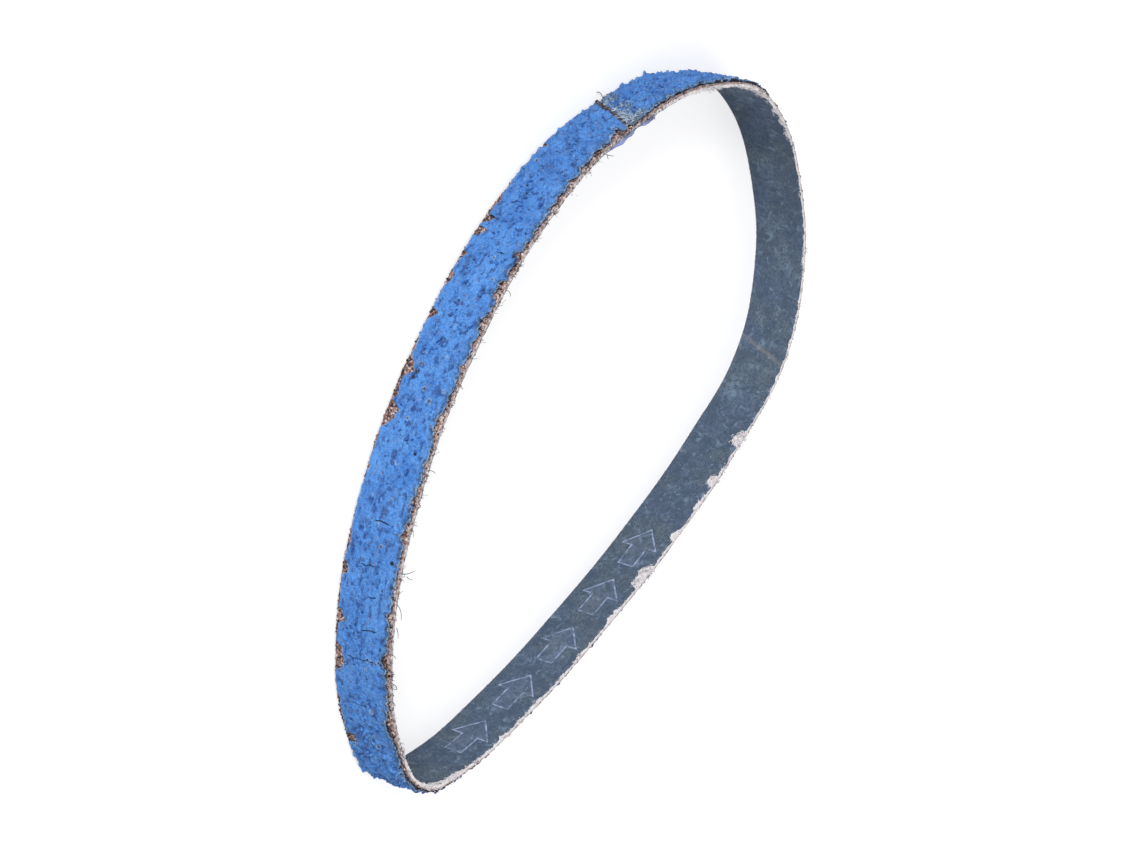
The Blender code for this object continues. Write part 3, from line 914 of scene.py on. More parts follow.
class SANDING_BELT_OT_grain_coat(Operator):
    """Lays the lumpy blue coat, with its chips, pits, cracks and scuffed end"""

    bl_idname = "sanding_belt.grain_coat"
    bl_label = "Grain coat"

    def execute(self, context):
        scene = context.scene
        sizes, detail = scene.belt_sizes, scene.belt_detail
        crack_half, sway_size, sway_reach = 0.00016, 0.0007, 0.0016
        extra = [
            share * sizes.length + side
            for share, _, _ in CRACKS
            for side in (-crack_half, 0, crack_half)
        ]
        station = stations(sizes, detail.coat_grid, extra)
        low, high = coat_edges(sizes, station)
        rows = round(sizes.width / detail.coat_grid)
        share = np.linspace(0, 1, rows)
        across = low[:, None] + (high - low)[:, None] * share
        along = station[:, None] + slant_shift(sizes, station[:, None], across)
        along = along + self.ragged_ends(sizes, station[:, None], across)
        for place, _, _ in CRACKS:
            off = station[:, None] - place * sizes.length
            sway = uneven("crack sway", across, 0.003 + place) * sway_size
            along = along + sway * np.exp(-((off / sway_reach) ** 2))
        height, hollow, bare, dark = self.relief(sizes, detail, station, along, across, low, high)
        mesh = self.closed_section(sizes, along, across, height, station)
        rim_highlight_width, wear_and_shade_rim, wear_and_shade_end = 0.0004, 0.0011, 0.0006
        from_near = high[:, None] - across
        inset = np.minimum(across - low[:, None], from_near)
        # Painted highlight round both edges of the coat, strongest right at the edge.
        thin = np.clip(1.1 - inset / rim_highlight_width, 0, 1)
        # Wear and painted shade near the near edge and at the splice end.
        worn = np.clip(1.3 - from_near / wear_and_shade_rim, 0, 1)
        to_splice = sizes.length + sizes.slant * (across / sizes.width - 0.5) - along
        from_splice = np.minimum(to_splice, sizes.length - to_splice)
        worn = np.maximum(worn, np.clip(1.4 - from_splice / wear_and_shade_end, 0, 1))
        scuffed_to, past_splice = 0.0030, 0.0005
        scuffed_from = sizes.skive * (0.75 + 0.35 * across / sizes.width)
        scuff = ease(-to_splice, -scuffed_from, -scuffed_to) * (to_splice > -past_splice)
        shaded = 0.55 + 0.9 * uneven("wall shade", station)[:, None]
        # The walls at each edge: painted shade (hollow and dark), a faint painted highlight, and the
        # near edge's wear and shade.
        on_face_and_walls = {
            "hollow": (hollow, 0.4), "bare": (bare, 0.0), "dark": (dark, shaded),
            "thin": (thin, 0.2), "scuff": (scuff, 0.0), "worn": (worn, 0.6),
        }
        pair = np.ones((len(station), 2))
        keep_values(mesh, **{
            name: np.hstack([pair * wall, face, pair * wall])
            for name, (face, wall) in on_face_and_walls.items()
        })
        finish = blue_coat_finish(scene.belt_colours)
        settle(mesh, finish, Loop(sizes), ["grain_coat"])
        return {"FINISHED"}

    @staticmethod
    def ragged_ends(sizes, along, across):
        """Makes both cut ends of the coat uneven."""
        reach, size = 0.0008, 0.00024
        start = np.exp(-along / reach)
        end = np.exp(-(sizes.length - along) / reach)
        wander = size * (1 + uneven("cut end", across))
        return wander * start - wander[:, ::-1] * end

    @staticmethod
    def relief(sizes, detail, station, along, across, low, high):
        """Height of the coat's face, how bare each point is, and its painted shade: how hollow and
        how dark it is.
        """
        lip_width, droop, droop_width, fine_height = 0.0007, 0.00012, 0.0005, 0.00004
        ground_off, ground_rough, crack_fade, least = 0.00016, 0.00009, 0.0006, 0.00005
        grains, pits, spikes = coat_marks(sizes, detail)
        bends = bend_factor(station, sizes.length)[:, None]
        broad = uneven("lumps", along, across) * detail.lump
        dents = ease(uneven("dents", along / 2, across), 0.10, 0.60)
        bumps = np.zeros_like(along)
        stamp(bumps, along, across, grains, raise_dome)
        bumps *= 0.7 + 1.3 * bends
        tall = np.zeros_like(along)
        stamp(tall, along, across, spikes, raise_dome)
        bumps = np.maximum(bumps, tall * bends)
        teeth = np.clip(uneven("teeth", along, across), 0, 1) * bends * detail.tooth
        fine = fine_height * uneven("fine grain", along, across)
        height = sizes.coat * 0.82 + broad + bumps + teeth + fine - detail.dent * dents
        inset = high[:, None] - across
        height = height + detail.lip * np.clip(1 - inset / lip_width, 0, 1) ** 2
        inset = across - low[:, None]
        height = height - droop * np.clip(1 - inset / droop_width, 0, 1) ** 2
        to_splice = sizes.length + sizes.slant * (across / sizes.width - 0.5) - along
        ground = ease(-to_splice, -sizes.skive, -sizes.skive * 0.6)
        height = height - ground_off * ground
        height = height + ground_rough * ground * uneven("ground stretch", along, across)
        # Painted shade: hollow is high in the dents and between the teeth at the bends.
        hollow = dents * (1 - 0.6 * bends) + 0.5 * bends * (0.5 - teeth / detail.tooth)
        cups = np.zeros_like(along)
        stamp(cups, along, across, pits, sink_cup)
        craters = [(c[0] * sizes.length, c[1], c[2], 1.0) for c in CRATERS]
        stamp(cups, along, across, craters, sink_cup)
        depth = -cups
        height = height * (1 - 0.75 * np.clip(depth, 0, 1))
        bare = np.zeros_like(along)
        # Painted shade in the pits and craters, darkest where they are deepest.
        dark = np.clip(depth - 0.25, 0, 1) * 0.9
        for share, height_across, radius, darkness in CRATERS:
            apart = np.hypot(along - share * sizes.length, across - height_across) / radius
            inside = np.clip(1.6 * (1 - apart**2), 0, 1)
            dark = np.where(inside > 0, inside * darkness, dark)
            bare = np.maximum(bare, inside * (1 - darkness))
        # Cracks are sunk, with painted shade along them.
        for share, start, end in CRACKS:
            column = np.argmin(np.abs(station - share * sizes.length))
            line = across[column]
            reach = ease(line, start, start + crack_fade) * ease(-line, -end, -end + crack_fade)
            height[column] *= 1 - 0.7 * reach
            dark[column] = np.maximum(dark[column], reach)
        return np.maximum(height, least), hollow, bare, dark

    @staticmethod
    def closed_section(sizes, along, across, height, station):
        """Adds an undercut wall at each edge, so that the coat's lip stands clear."""
        floor = sizes.cloth / 2 + 2 * sizes.bond + sizes.make
        mean_undercut, varying = 0.00020, 0.00016
        undercut = mean_undercut + varying * uneven("undercut", station)
        lip = 0.6 * height[:, [0, -1]]
        foot_low = across[:, 0] + undercut
        foot_high = across[:, -1] - undercut
        widths = np.column_stack([foot_low, across[:, 0], across, across[:, -1], foot_high])
        base = np.zeros(len(station))
        tall = np.column_stack([base, lip[:, 0], height, lip[:, 1], base]) + floor
        shifted = np.column_stack([
            along[:, 0], along[:, 0], along, along[:, -1], along[:, -1],
        ])
        return strip_mesh("abrasive_coat", shifted, widths, tall)


class SANDING_BELT_OT_make_coat(Operator):
    """Lays the brown resin layer that shows at the chips and along the near edge"""

    bl_idname = "sanding_belt.make_coat"
    bl_label = "Make coat"

    def execute(self, context):
        scene = context.scene
        sizes, detail = scene.belt_sizes, scene.belt_detail
        station = stations(sizes, detail.make_grid)
        margin, blend, edge_gap, edge_wander = 0.0036, 0.0012, 0.00010, 0.00012
        grain_height, sunk, sunk_inside = 0.00007, 0.00004, 0.00006
        fine = np.arange(0, margin, detail.make_grid) + edge_gap
        rows = np.concatenate([fine, [sizes.width / 2], (sizes.width - fine)[::-1]])
        across = np.broadcast_to(rows, (len(station), len(rows))).copy()
        edges = ((0, 1, "resin at the far edge"), (-1, -1, "resin at the near edge"))
        for edge, side, kind in edges:
            across[:, edge] += side * (edge_gap + edge_wander * uneven(kind, station))
        along = station[:, None] + slant_shift(sizes, station[:, None], across)
        grain = grain_height * uneven("resin grain", along, across)
        top = sizes.make + grain - sunk
        inner = ease(across, margin - blend, margin)
        inner = inner * ease(-across, margin - sizes.width, margin + blend - sizes.width)
        top = top * (1 - inner) + (sizes.make - sunk_inside) * inner
        floor = sizes.cloth / 2 + sizes.bond
        base = np.zeros((len(station), 1))
        out = np.hstack([base, top, base]) + floor
        widths = np.hstack([across[:, :1], across, across[:, -1:]])
        shifted = np.hstack([along[:, :1], along, along[:, -1:]])
        mesh = strip_mesh("resin_coat", shifted, widths, out)
        finish = resin_finish(scene.belt_colours, sizes)
        settle(mesh, finish, Loop(sizes), ["make_coat"])
        return {"FINISHED"}


def fray_depth(sizes, along):
    """How far the inner face's near edge has frayed, at each place along the belt."""
    shallow = 0.00024
    depth = shallow + shallow * uneven("fray", along)
    for start, end, reach in FRAYS:
        middle, half = (start + end) / 2 * sizes.length, (end - start) / 2 * sizes.length
        inside = np.clip(1 - np.abs((along - middle) / half) ** 3, 0, 1)
        depth = np.maximum(depth, reach * inside * (1 + 0.6 * uneven("deep fray", along)))
    return depth


def stain_along(sizes, along):
    """How much dust the cut edge has taken: most on the stretch whose coat faces the camera."""
    share = along / sizes.length
    return 0.8 - 0.8 * ease(share, 0.315, 0.365) * ease(-share, -0.995, -0.955)


def arrow_points(sizes, share):
    """One arrow's outline on the flat belt."""
    start = share * sizes.length
    return np.array([(start + x * MM, ARROW_FOOT + y * MM) for x, y in ARROW_OUTLINE])


def inside_outline(along, across, outline):
    """1 for the points that lie inside a closed outline, and 0 for the rest."""
    inside = np.zeros(along.shape, bool)
    for (x0, y0), (x1, y1) in zip(outline, np.roll(outline, -1, axis=0)):
        if y0 == y1:
            continue
        crosses = (y0 > across) != (y1 > across)
        inside ^= crosses & (along < (x1 - x0) * (across - y0) / (y1 - y0) + x0)
    return inside.astype(float)


class SANDING_BELT_OT_cloth(Operator):
    """Weaves the slate backing, with its frayed edges, rubbed marks and crease"""

    bl_idname = "sanding_belt.cloth"
    bl_label = "Cloth backing"

    def execute(self, context):
        scene = context.scene
        sizes, detail = scene.belt_sizes, scene.belt_detail
        station = stations(sizes, detail.cloth_grid)
        half = sizes.cloth / 2
        row_pitch, rib_pitch, rib_height = 0.00034, 0.00068, 0.00002
        cut_rough, face_rough = 0.00014, 0.00003
        face = np.linspace(sizes.width, 0, round(sizes.width / row_pitch))
        edge_out = np.linspace(-half, half, 4)[1:-1]
        across_line = np.concatenate([
            [0, sizes.width], np.full(len(edge_out), sizes.width), face, np.zeros(len(edge_out)),
        ])
        out_line = np.concatenate([
            [half, half], edge_out[::-1], np.full(len(face), -half), edge_out,
        ])
        across = np.broadcast_to(across_line, (len(station), len(across_line))).copy()
        out = np.broadcast_to(out_line, across.shape).copy()
        along = station[:, None] + slant_shift(sizes, station[:, None], across)
        near = across_line > sizes.width - 1e-6
        across[:, near] -= cut_rough * (1 + uneven("cut cloth", along, out * 9))[:, near]
        inner = out_line < -half + 1e-9
        out[:, inner] += face_rough * uneven("cloth face", along, across)[:, inner]
        ribs = rib_height * np.sin(across * 2 * math.pi / rib_pitch)
        out[:, inner] += ribs[:, inner]
        mesh = strip_mesh("woven_cloth", along, across, out)
        keep_values(mesh, **self.marks(sizes, along, across, inner))
        finish = cloth_finish(scene.belt_colours)
        settle(mesh, finish, Loop(sizes), ["cloth_backing"])
        return {"FINISHED"}

    @staticmethod
    def marks(sizes, along, across, inner):
        """Fraying, smears, the crease and the printed fields, for each point."""
        fray_rough, fray_start, fray_full = 0.00035, 0.00012, 0.00018
        far_fray, far_full = 0.00022, 0.00006
        depth = fray_depth(sizes, along)
        from_edge = sizes.width - across
        ragged = fray_rough * uneven("fray line", along, across)
        frayed = ease(depth + ragged - from_edge, -fray_start, fray_full)
        frayed = np.maximum(frayed, 0.75 * ease(-across, -far_fray, -far_full))
        frayed[:, ~inner] = 0.9
        smear = np.zeros_like(along)
        for share, place, half_length, half_width, strength in SMEARS:
            reach = ((along - share * sizes.length) / half_length) ** 2
            reach = reach + ((across - place) / half_width) ** 2
            smear = np.maximum(smear, strength * np.exp(-reach))
        middle = CREASE_SHARE * sizes.length - CREASE_SLANT * (across / sizes.width - 0.5)
        crease = np.exp(-(((along - middle) / (CREASE_WIDTH / 2)) ** 4))
        inked = np.zeros_like(along)
        for share in ARROW_SHARES:
            inked = np.maximum(inked, inside_outline(along, across, arrow_points(sizes, share)))
        far = (across < sizes.width / 2) & ~inner
        stain = stain_along(sizes, along) * (far | (across > sizes.width / 2)) + 0.6 * far
        return {"frayed": frayed, "smear": smear, "crease": crease, "inked": inked, "stain": stain}


class SANDING_BELT_OT_print(Operator):
    """Prints plain arrows on the backing, as thin outlines that have partly worn away"""

    bl_idname = "sanding_belt.print"
    bl_label = "Backing print"

    def execute(self, context):
        scene = context.scene
        sizes = scene.belt_sizes
        line_width, ink = 0.00034, 0.00002
        face = -(sizes.cloth / 2 + ink)
        canvas = bmesh.new()
        for share in ARROW_SHARES:
            self.outline_band(canvas, arrow_points(sizes, share), line_width, face - ink, face)
        mesh = bpy.data.meshes.new("backing_print")
        bmesh.ops.recalc_face_normals(canvas, faces=canvas.faces[:])
        canvas.to_mesh(mesh)
        canvas.free()
        settle(mesh, ink_finish(scene.belt_colours), Loop(sizes))
        return {"FINISHED"}

    @staticmethod
    def outline_band(canvas, outline, width, bottom, top):
        """A closed band of even width along an outline, cut short enough to follow the loop."""
        longest = 0.0009
        line = []
        for start, end in zip(outline, np.roll(outline, -1, axis=0)):
            pieces = max(1, round(np.linalg.norm(end - start) / longest))
            line += [start + (end - start) * k / pieces for k in range(pieces)]
        line = np.array(line)
        ahead = np.roll(line, -1, axis=0) - line
        ahead /= np.linalg.norm(ahead, axis=1)[:, None]
        behind = np.roll(ahead, 1, axis=0)
        side = np.column_stack([-(ahead + behind)[:, 1], (ahead + behind)[:, 0]])
        side /= np.maximum((side**2).sum(1), 0.9)[:, None] / 2
        half = width / 2
        corners = ((-half, bottom), (half, bottom), (half, top), (-half, top))
        rings = []
        for point, way in zip(line, side):
            rings.append([canvas.verts.new((*(point + way * s), z)) for s, z in corners])
        for ring, following in zip(rings, rings[1:] + rings[:1]):
            for k in range(4):
                canvas.faces.new((ring[k], ring[k - 1], following[k - 1], following[k]))


class SANDING_BELT_OT_splice_film(Operator):
    """Glues the thin film over the splice, with its wavy edge past the near cut edge"""

    bl_idname = "sanding_belt.splice_film"
    bl_label = "Splice film"

    def execute(self, context):
        scene = context.scene
        sizes = scene.belt_sizes
        half = sizes.film_length / 2
        spacing, far_margin, near_margin, rim = 0.0003, 0.0005, 0.0002, 0.0003
        station = np.arange(-half, half + 1e-9, spacing)
        lobes = sum(
            reach * np.exp(-(((station - place) / half_length) ** 4))
            for place, half_length, reach in FILM_LOBES
        )
        lobes *= 1 + 0.45 * uneven("film edge", station)
        high = sizes.width - near_margin + lobes
        rows = np.concatenate([np.linspace(0, 0.9, 7), np.linspace(0.915, 1, 6)])
        across = far_margin + (high - far_margin)[:, None] * rows
        along = np.broadcast_to(station[:, None], across.shape)
        past = np.clip(across - sizes.width, 0, None)
        sag = 0.35 * past * uneven("film sag", along, across)
        top = -(sizes.cloth / 2 + sizes.bond) + sag
        bottom = top - sizes.film
        sides = self.both_faces
        mesh = strip_mesh(
            "splice_film", sides(along, along), sides(across, across), sides(top, bottom),
        )
        edge = np.clip(1 - (high[:, None] - across) / rim, 0, 1)
        keep_values(mesh, rim=sides(edge, edge))
        finish = film_finish(scene.belt_colours, sizes)
        settle(mesh, finish, Loop(sizes), ["splice_tape"])
        return {"FINISHED"}

    @staticmethod
    def both_faces(upper, lower):
        """What the two faces hold, in order round the film's section."""
        return np.hstack([upper, lower[:, ::-1]])


class Tree:
    """A geometry node tree with named inputs; short calls add and link its nodes."""

    def __init__(self, name, **inputs):
        self.tree = bpy.data.node_groups.new(name, "GeometryNodeTree")
        self.tree.interface.new_socket("Geometry", in_out="INPUT", socket_type="NodeSocketGeometry")
        self.tree.interface.new_socket("Geometry", in_out="OUTPUT", socket_type="NodeSocketGeometry")
        for title, kind in inputs.items():
            label = title.replace("_", " ")
            self.tree.interface.new_socket(label, in_out="INPUT", socket_type="NodeSocket" + kind)
        self.inputs = self.tree.nodes.new("NodeGroupInput").outputs

    def add(self, kind, inputs, **settings):
        node = self.tree.nodes.new(kind)
        for setting, value in settings.items():
            setattr(node, setting, value)
        for socket, value in inputs.items():
            if isinstance(value, bpy.types.NodeSocket):
                self.tree.links.new(value, node.inputs[socket])
            else:
                node.inputs[socket].default_value = value
        return node

    def math(self, operation, a, b):
        return self.add("ShaderNodeMath", {0: a, 1: b}, operation=operation).outputs[0]

    def scaled(self, vector, factor):
        inputs = {0: vector, "Scale": factor}
        return self.add("ShaderNodeVectorMath", inputs, operation="SCALE").outputs[0]

    def random_vector(self, least, most, seed):
        inputs = {0: least, 1: most, "Seed": seed}
        return self.add("FunctionNodeRandomValue", inputs, data_type="FLOAT_VECTOR").outputs[0]

    def random_number(self, least, most, seed):
        inputs = {2: least, 3: most, "Seed": seed}
        return self.add("FunctionNodeRandomValue", inputs, data_type="FLOAT").outputs[1]

    def scatter(self):
        """Points over the bed, most where its density value is high, and that value."""
        wanted = self.add("GeometryNodeInputNamedAttribute", {"Name": "density"}, data_type="FLOAT")
        rate = self.math("MULTIPLY", wanted.outputs[0], self.inputs["Density"])
        points = self.add("GeometryNodeDistributePointsOnFaces", {
            "Mesh": self.inputs["Geometry"], "Density": rate, "Seed": self.inputs["Seed"],
        })
        return points.outputs["Points"], wanted.outputs[0]

    def place(self, points, shape, turn, size, tint_name):
        """A real copy of the shape on each point, with a random tint kept under a name."""
        placed = self.add("GeometryNodeInstanceOnPoints", {
            "Points": points, "Instance": shape.outputs[0], "Rotation": turn, "Scale": size,
        })
        tint = {
            "Geometry": placed.outputs[0], "Name": tint_name,
            "Value": self.random_number(0.0, 1.0, seed=3),
        }
        tinted = self.add(
            "GeometryNodeStoreNamedAttribute", tint, data_type="FLOAT", domain="INSTANCE",
        )
        return self.add("GeometryNodeRealizeInstances", {"Geometry": tinted.outputs[0]}).outputs[0]

    def end(self, geometry):
        """Gives the geometry its material and hands it out."""
        inputs = {"Geometry": geometry, "Material": self.inputs["Material"]}
        done = self.add("GeometryNodeSetMaterial", inputs)
        out = self.tree.nodes.new("NodeGroupOutput")
        self.tree.links.new(done.outputs[0], out.inputs[0])

    def run(self, mesh, name, **values):
        """The tree's result on a flat mesh, as a plain mesh."""
        bed = bpy.data.objects.new("bed", mesh)
        bpy.context.scene.collection.objects.link(bed)
        modifier = bed.modifiers.new(self.tree.name, "NODES")
        modifier.node_group = self.tree
        for item in self.tree.interface.items_tree:
            key = item.name.replace(" ", "_")
            if item.in_out == "INPUT" and key in values:
                modifier[item.identifier] = values[key]
        graph = bpy.context.evaluated_depsgraph_get()
        made = bpy.data.meshes.new_from_object(bed.evaluated_get(graph))
        bed.modifiers.remove(modifier)
        bpy.data.objects.remove(bed)
        bpy.data.meshes.remove(mesh)
        made.name = name
        return made


def fibre_tree(name, curled):
    """Scatters fibres over a bed, most where its density value is high: strands or curls."""
    tree = Tree(
        name, Density="Float", Length="Float", Width="Float", Curl="Float",
        Least_turn="Vector", Most_turn="Vector", Seed="Int", Material="Material",
    )
    points, wanted = tree.scatter()
    turn = tree.random_vector(tree.inputs["Least turn"], tree.inputs["Most turn"], seed=1)
    longest = tree.math("MULTIPLY", wanted, tree.inputs["Length"])
    length = tree.math("MULTIPLY", tree.random_number(0.35, 1.0, seed=2), longest)
    if curled:
        line = tree.add("GeometryNodeCurveSpiral", {
            "Resolution": 7, "Rotations": 1.0, "Start Radius": 0.3, "End Radius": 0.5, "Height": 0.5,
        })
    else:
        line = tree.add("GeometryNodeCurveQuadraticBezier", {
            "Resolution": 4, "Start": (0, 0, 0), "Middle": (0.25, 0.6, 0), "End": (0, 1, 0.3),
        })
    real = tree.place(points, line, turn, length, "tint")
    where = tree.add("GeometryNodeInputPosition", {})
    swirl = tree.add(
        "ShaderNodeTexNoise", {"Vector": where.outputs[0], "Scale": 1400.0, "Detail": 1.0},
    )
    middle = {0: swirl.outputs["Color"], 1: (0.5, 0.5, 0.5)}
    centred = tree.add("ShaderNodeVectorMath", middle, operation="SUBTRACT")
    offset = tree.scaled(centred.outputs[0], tree.inputs["Curl"])
    swayed = tree.add("GeometryNodeSetPosition", {"Geometry": real, "Offset": offset})
    half = tree.math("DIVIDE", tree.inputs["Width"], 2.0)
    ring = tree.add("GeometryNodeCurvePrimitiveCircle", {"Resolution": 3, "Radius": half})
    tube = tree.add("GeometryNodeCurveToMesh", {
        "Curve": swayed.outputs[0], "Profile Curve": ring.outputs[0], "Fill Caps": True,
    })
    tree.end(tube.outputs[0])
    return tree


def grit_tree(name):
    """Scatters sharp grains over a bed, each turned and stretched by chance."""
    tree = Tree(name, Density="Float", Size="Float", Seed="Int", Material="Material")
    points, _ = tree.scatter()
    turn = tree.random_vector((0.0, 0.0, 0.0), (6.28, 6.28, 6.28), seed=1)
    stretch = tree.random_vector((0.3, 0.3, 0.3), (1.0, 1.0, 1.0), seed=2)
    size = tree.scaled(stretch, tree.inputs["Size"])
    grain = tree.add("GeometryNodeMeshIcoSphere", {"Radius": 0.5, "Subdivisions": 1})
    tree.end(tree.place(points, grain, turn, size, "hollow"))
    return tree


def bed_mesh(name, along, across, out, **values):
    """An open flat patch for scattering on, from a grid of points; what grows there keeps the
    values that it is given."""
    rows, points = along.shape
    index = np.arange(rows * points).reshape(rows, points)
    corners = [index[:-1, :-1], index[1:, :-1], index[1:, 1:], index[:-1, 1:]]
    flat = np.stack([along, across, out], axis=-1).reshape(-1, 3)
    mesh = bpy.data.meshes.new(name)
    mesh.from_pydata(flat.tolist(), [], np.stack(corners, axis=-1).reshape(-1, 4).tolist())
    keep_values(mesh, **values)
    return mesh


class SANDING_BELT_OT_grit(Operator):
    """Sets sharp grains proud of the coat, most of them at the bends"""

    bl_idname = "sanding_belt.grit"
    bl_label = "Proud grains"

    def execute(self, context):
        scene = context.scene
        sizes, detail = scene.belt_sizes, scene.belt_detail
        spacing, far_margin, near_margin, largest = 0.001, 0.0032, 0.0026, 0.0011
        station = np.arange(spacing, sizes.length - spacing, spacing)
        rows = np.linspace(far_margin, sizes.width - near_margin, 9)
        along, across = np.meshgrid(station, rows, indexing="ij")
        face = sizes.cloth / 2 + 2 * sizes.bond + sizes.make + sizes.coat * 0.95
        bends = bend_factor(along, sizes.length)
        density = 0.5 + 0.5 * uneven("proud grains", along, across) + 1.6 * bends
        face = np.full_like(along, face)
        bed = bed_mesh("grit_bed", along, across, face, density=np.clip(density, 0, None))
        finish = blue_coat_finish(scene.belt_colours)
        mesh = grit_tree("scatter_grains").run(
            bed, "proud_grains", Density=detail.grit_density / MM**2, Size=largest,
            Seed=detail.seed, Material=finish,
        )
        settle(mesh, finish, Loop(sizes), smooth_below=20)
        return {"FINISHED"}


class SANDING_BELT_OT_crumbs(Operator):
    """Strews crumbs of resin where the coat has broken away from the edges"""

    bl_idname = "sanding_belt.crumbs"
    bl_label = "Resin crumbs"

    def execute(self, context):
        scene = context.scene
        sizes = scene.belt_sizes
        end_margin, spacing, resin_size, splice_size = 0.0006, 0.0004, 0.0007, 0.0009
        station = np.arange(end_margin, sizes.length - end_margin, spacing)
        low, high = coat_edges(sizes, station)
        inset = np.linspace(0.0002, 0.0030, 10)
        rows = np.concatenate([inset, sizes.width - inset[::-1]])
        along, across = np.meshgrid(station, rows, indexing="ij")
        clear = 0.0001
        bare = (across < low[:, None] - clear) | (across > high[:, None] + clear)
        rubbed = ease(station, 0.40 * sizes.length, 0.42 * sizes.length)
        bare = bare * (1 - 0.85 * rubbed[:, None])
        ground = sizes.cloth / 2 + sizes.bond + sizes.make
        self.strew(scene, "resin_crumbs", along, across, ground, bare, resin_size)
        before, after, margin = 0.0005, 0.0004, 0.0003
        station = np.linspace(-before, after, 5)
        rows = np.linspace(margin, sizes.width - margin, 26)
        along, across = np.meshgrid(station, rows, indexing="ij")
        along = along + sizes.slant * (across / sizes.width - 0.5)
        crowd = np.clip(2.2 + 3.4 * uneven("splice crumbs", across, along), 0, None)
        top = ground + 0.8 * sizes.coat
        self.strew(scene, "splice_crumbs", along, across, top, crowd, splice_size)
        return {"FINISHED"}

    @staticmethod
    def strew(scene, name, along, across, out, density, size):
        sizes, detail = scene.belt_sizes, scene.belt_detail
        face = np.full_like(along, out)
        finish = crumb_finish(scene.belt_colours, sizes)
        mesh = grit_tree("scatter_" + name).run(
            bed_mesh("crumb_bed", along, across, face, density=density), name,
            Density=detail.crumb_density / MM**2, Size=size, Seed=detail.seed + 3, Material=finish,
        )
        settle(mesh, finish, Loop(sizes), smooth_below=20)


class SANDING_BELT_OT_fringe(Operator):
    """Frays the near edge of the cloth into short cotton fibres"""

    bl_idname = "sanding_belt.fringe"
    bl_label = "Frayed fringe"

    def execute(self, context):
        scene = context.scene
        sizes, detail, colours = scene.belt_sizes, scene.belt_detail, scene.belt_colours
        loop = Loop(sizes)
        half = sizes.cloth / 2
        spacing, set_in, face_set_in, deepest = 0.0005, 0.0002, 0.0001, 0.0008
        station = np.arange(spacing, sizes.length - spacing, spacing)
        depth = fray_depth(sizes, station)
        profile = np.array([0.15, 0.0, 0.0, 0.35, 1.0])
        across = sizes.width - set_in - np.outer(depth, profile)
        across[:, 2:] -= face_set_in
        out = np.broadcast_to(np.array([half, half * 0.4, -half, -half, -half]), across.shape)
        along = np.broadcast_to(station[:, None], across.shape)
        tufts = 0.35 + 1.1 * ease(uneven("tufts", station), -0.3, 0.5)
        crowd = tufts * (0.6 + np.minimum(depth, deepest) / 0.0015)
        density = np.broadcast_to(crowd[:, None], across.shape)
        stain = stain_along(sizes, along)
        bed = bed_mesh("fringe_bed", along, across, out, density=density, stain=stain)
        finish = fibre_finish("frayed_cotton", colours.fibre, colours.fibre_dark)
        mesh = fibre_tree("scatter_strands", curled=False).run(
            bed, "frayed_fringe", Density=detail.fibre_density / MM**2,
            Length=detail.fibre_length * 0.6, Width=detail.fibre_width, Curl=0.0011,
            Least_turn=(-0.9, -0.6, -1.5), Most_turn=(0.5, 0.6, 1.5), Seed=detail.seed + 1,
            Material=finish,
        )
        settle(mesh, finish, loop, smooth_below=80)
        sparse = np.broadcast_to(tufts[:, None], across.shape)
        bed = bed_mesh("bristle_bed", along, across, out, density=sparse, stain=stain)
        finish = fibre_finish("frayed_bristle", colours.fibre, colours.thread)
        mesh = fibre_tree("scatter_bristles", curled=False).run(
            bed, "frayed_bristles", Density=1.5 / MM**2, Length=detail.fibre_length,
            Width=detail.fibre_width * 0.7, Curl=0.0012, Least_turn=(-1.2, -0.9, -1.1),
            Most_turn=(1.2, 0.9, 1.1), Seed=detail.seed + 4, Material=finish,
        )
        settle(mesh, finish, loop, smooth_below=80)
        return {"FINISHED"}


class SANDING_BELT_OT_splice_curls(Operator):
    """Scatters curled shavings over the scuffed stretch before the splice"""

    bl_idname = "sanding_belt.splice_curls"
    bl_label = "Splice curls"

    def execute(self, context):
        scene = context.scene
        sizes, detail, colours = scene.belt_sizes, scene.belt_detail, scene.belt_colours
        share = np.linspace(0, 1, 12)[:, None]
        far_margin, near_margin, before_splice = 0.0004, 0.0008, 0.0003
        rows = np.linspace(far_margin, sizes.width - near_margin, 14)[None, :]
        end = sizes.length + sizes.slant * (rows / sizes.width - 0.5) - before_splice
        reach = sizes.skive * (0.45 + 0.5 * rows / sizes.width)
        along = end - reach * (1 - share)
        across = np.broadcast_to(rows, along.shape)
        face = sizes.cloth / 2 + 2 * sizes.bond + sizes.make + sizes.coat * 0.85
        density = np.broadcast_to(share * 0.8 + 0.2, along.shape) * (0.5 + rows / sizes.width)
        bed = bed_mesh("curl_bed", along, across, np.full_like(along, face), density=density)
        finish = fibre_finish("scuffed_curls", colours.curl, colours.slate)
        mesh = fibre_tree("scatter_curls", curled=True).run(
            bed, "splice_curls", Density=2.6 / MM**2, Length=0.0013,
            Width=detail.fibre_width * 1.1, Curl=0.0006, Least_turn=(-0.5, -0.5, -3.14),
            Most_turn=(0.5, 0.5, 3.14), Seed=detail.seed + 2, Material=finish,
        )
        settle(mesh, finish, Loop(sizes), smooth_below=80)
        return {"FINISHED"}


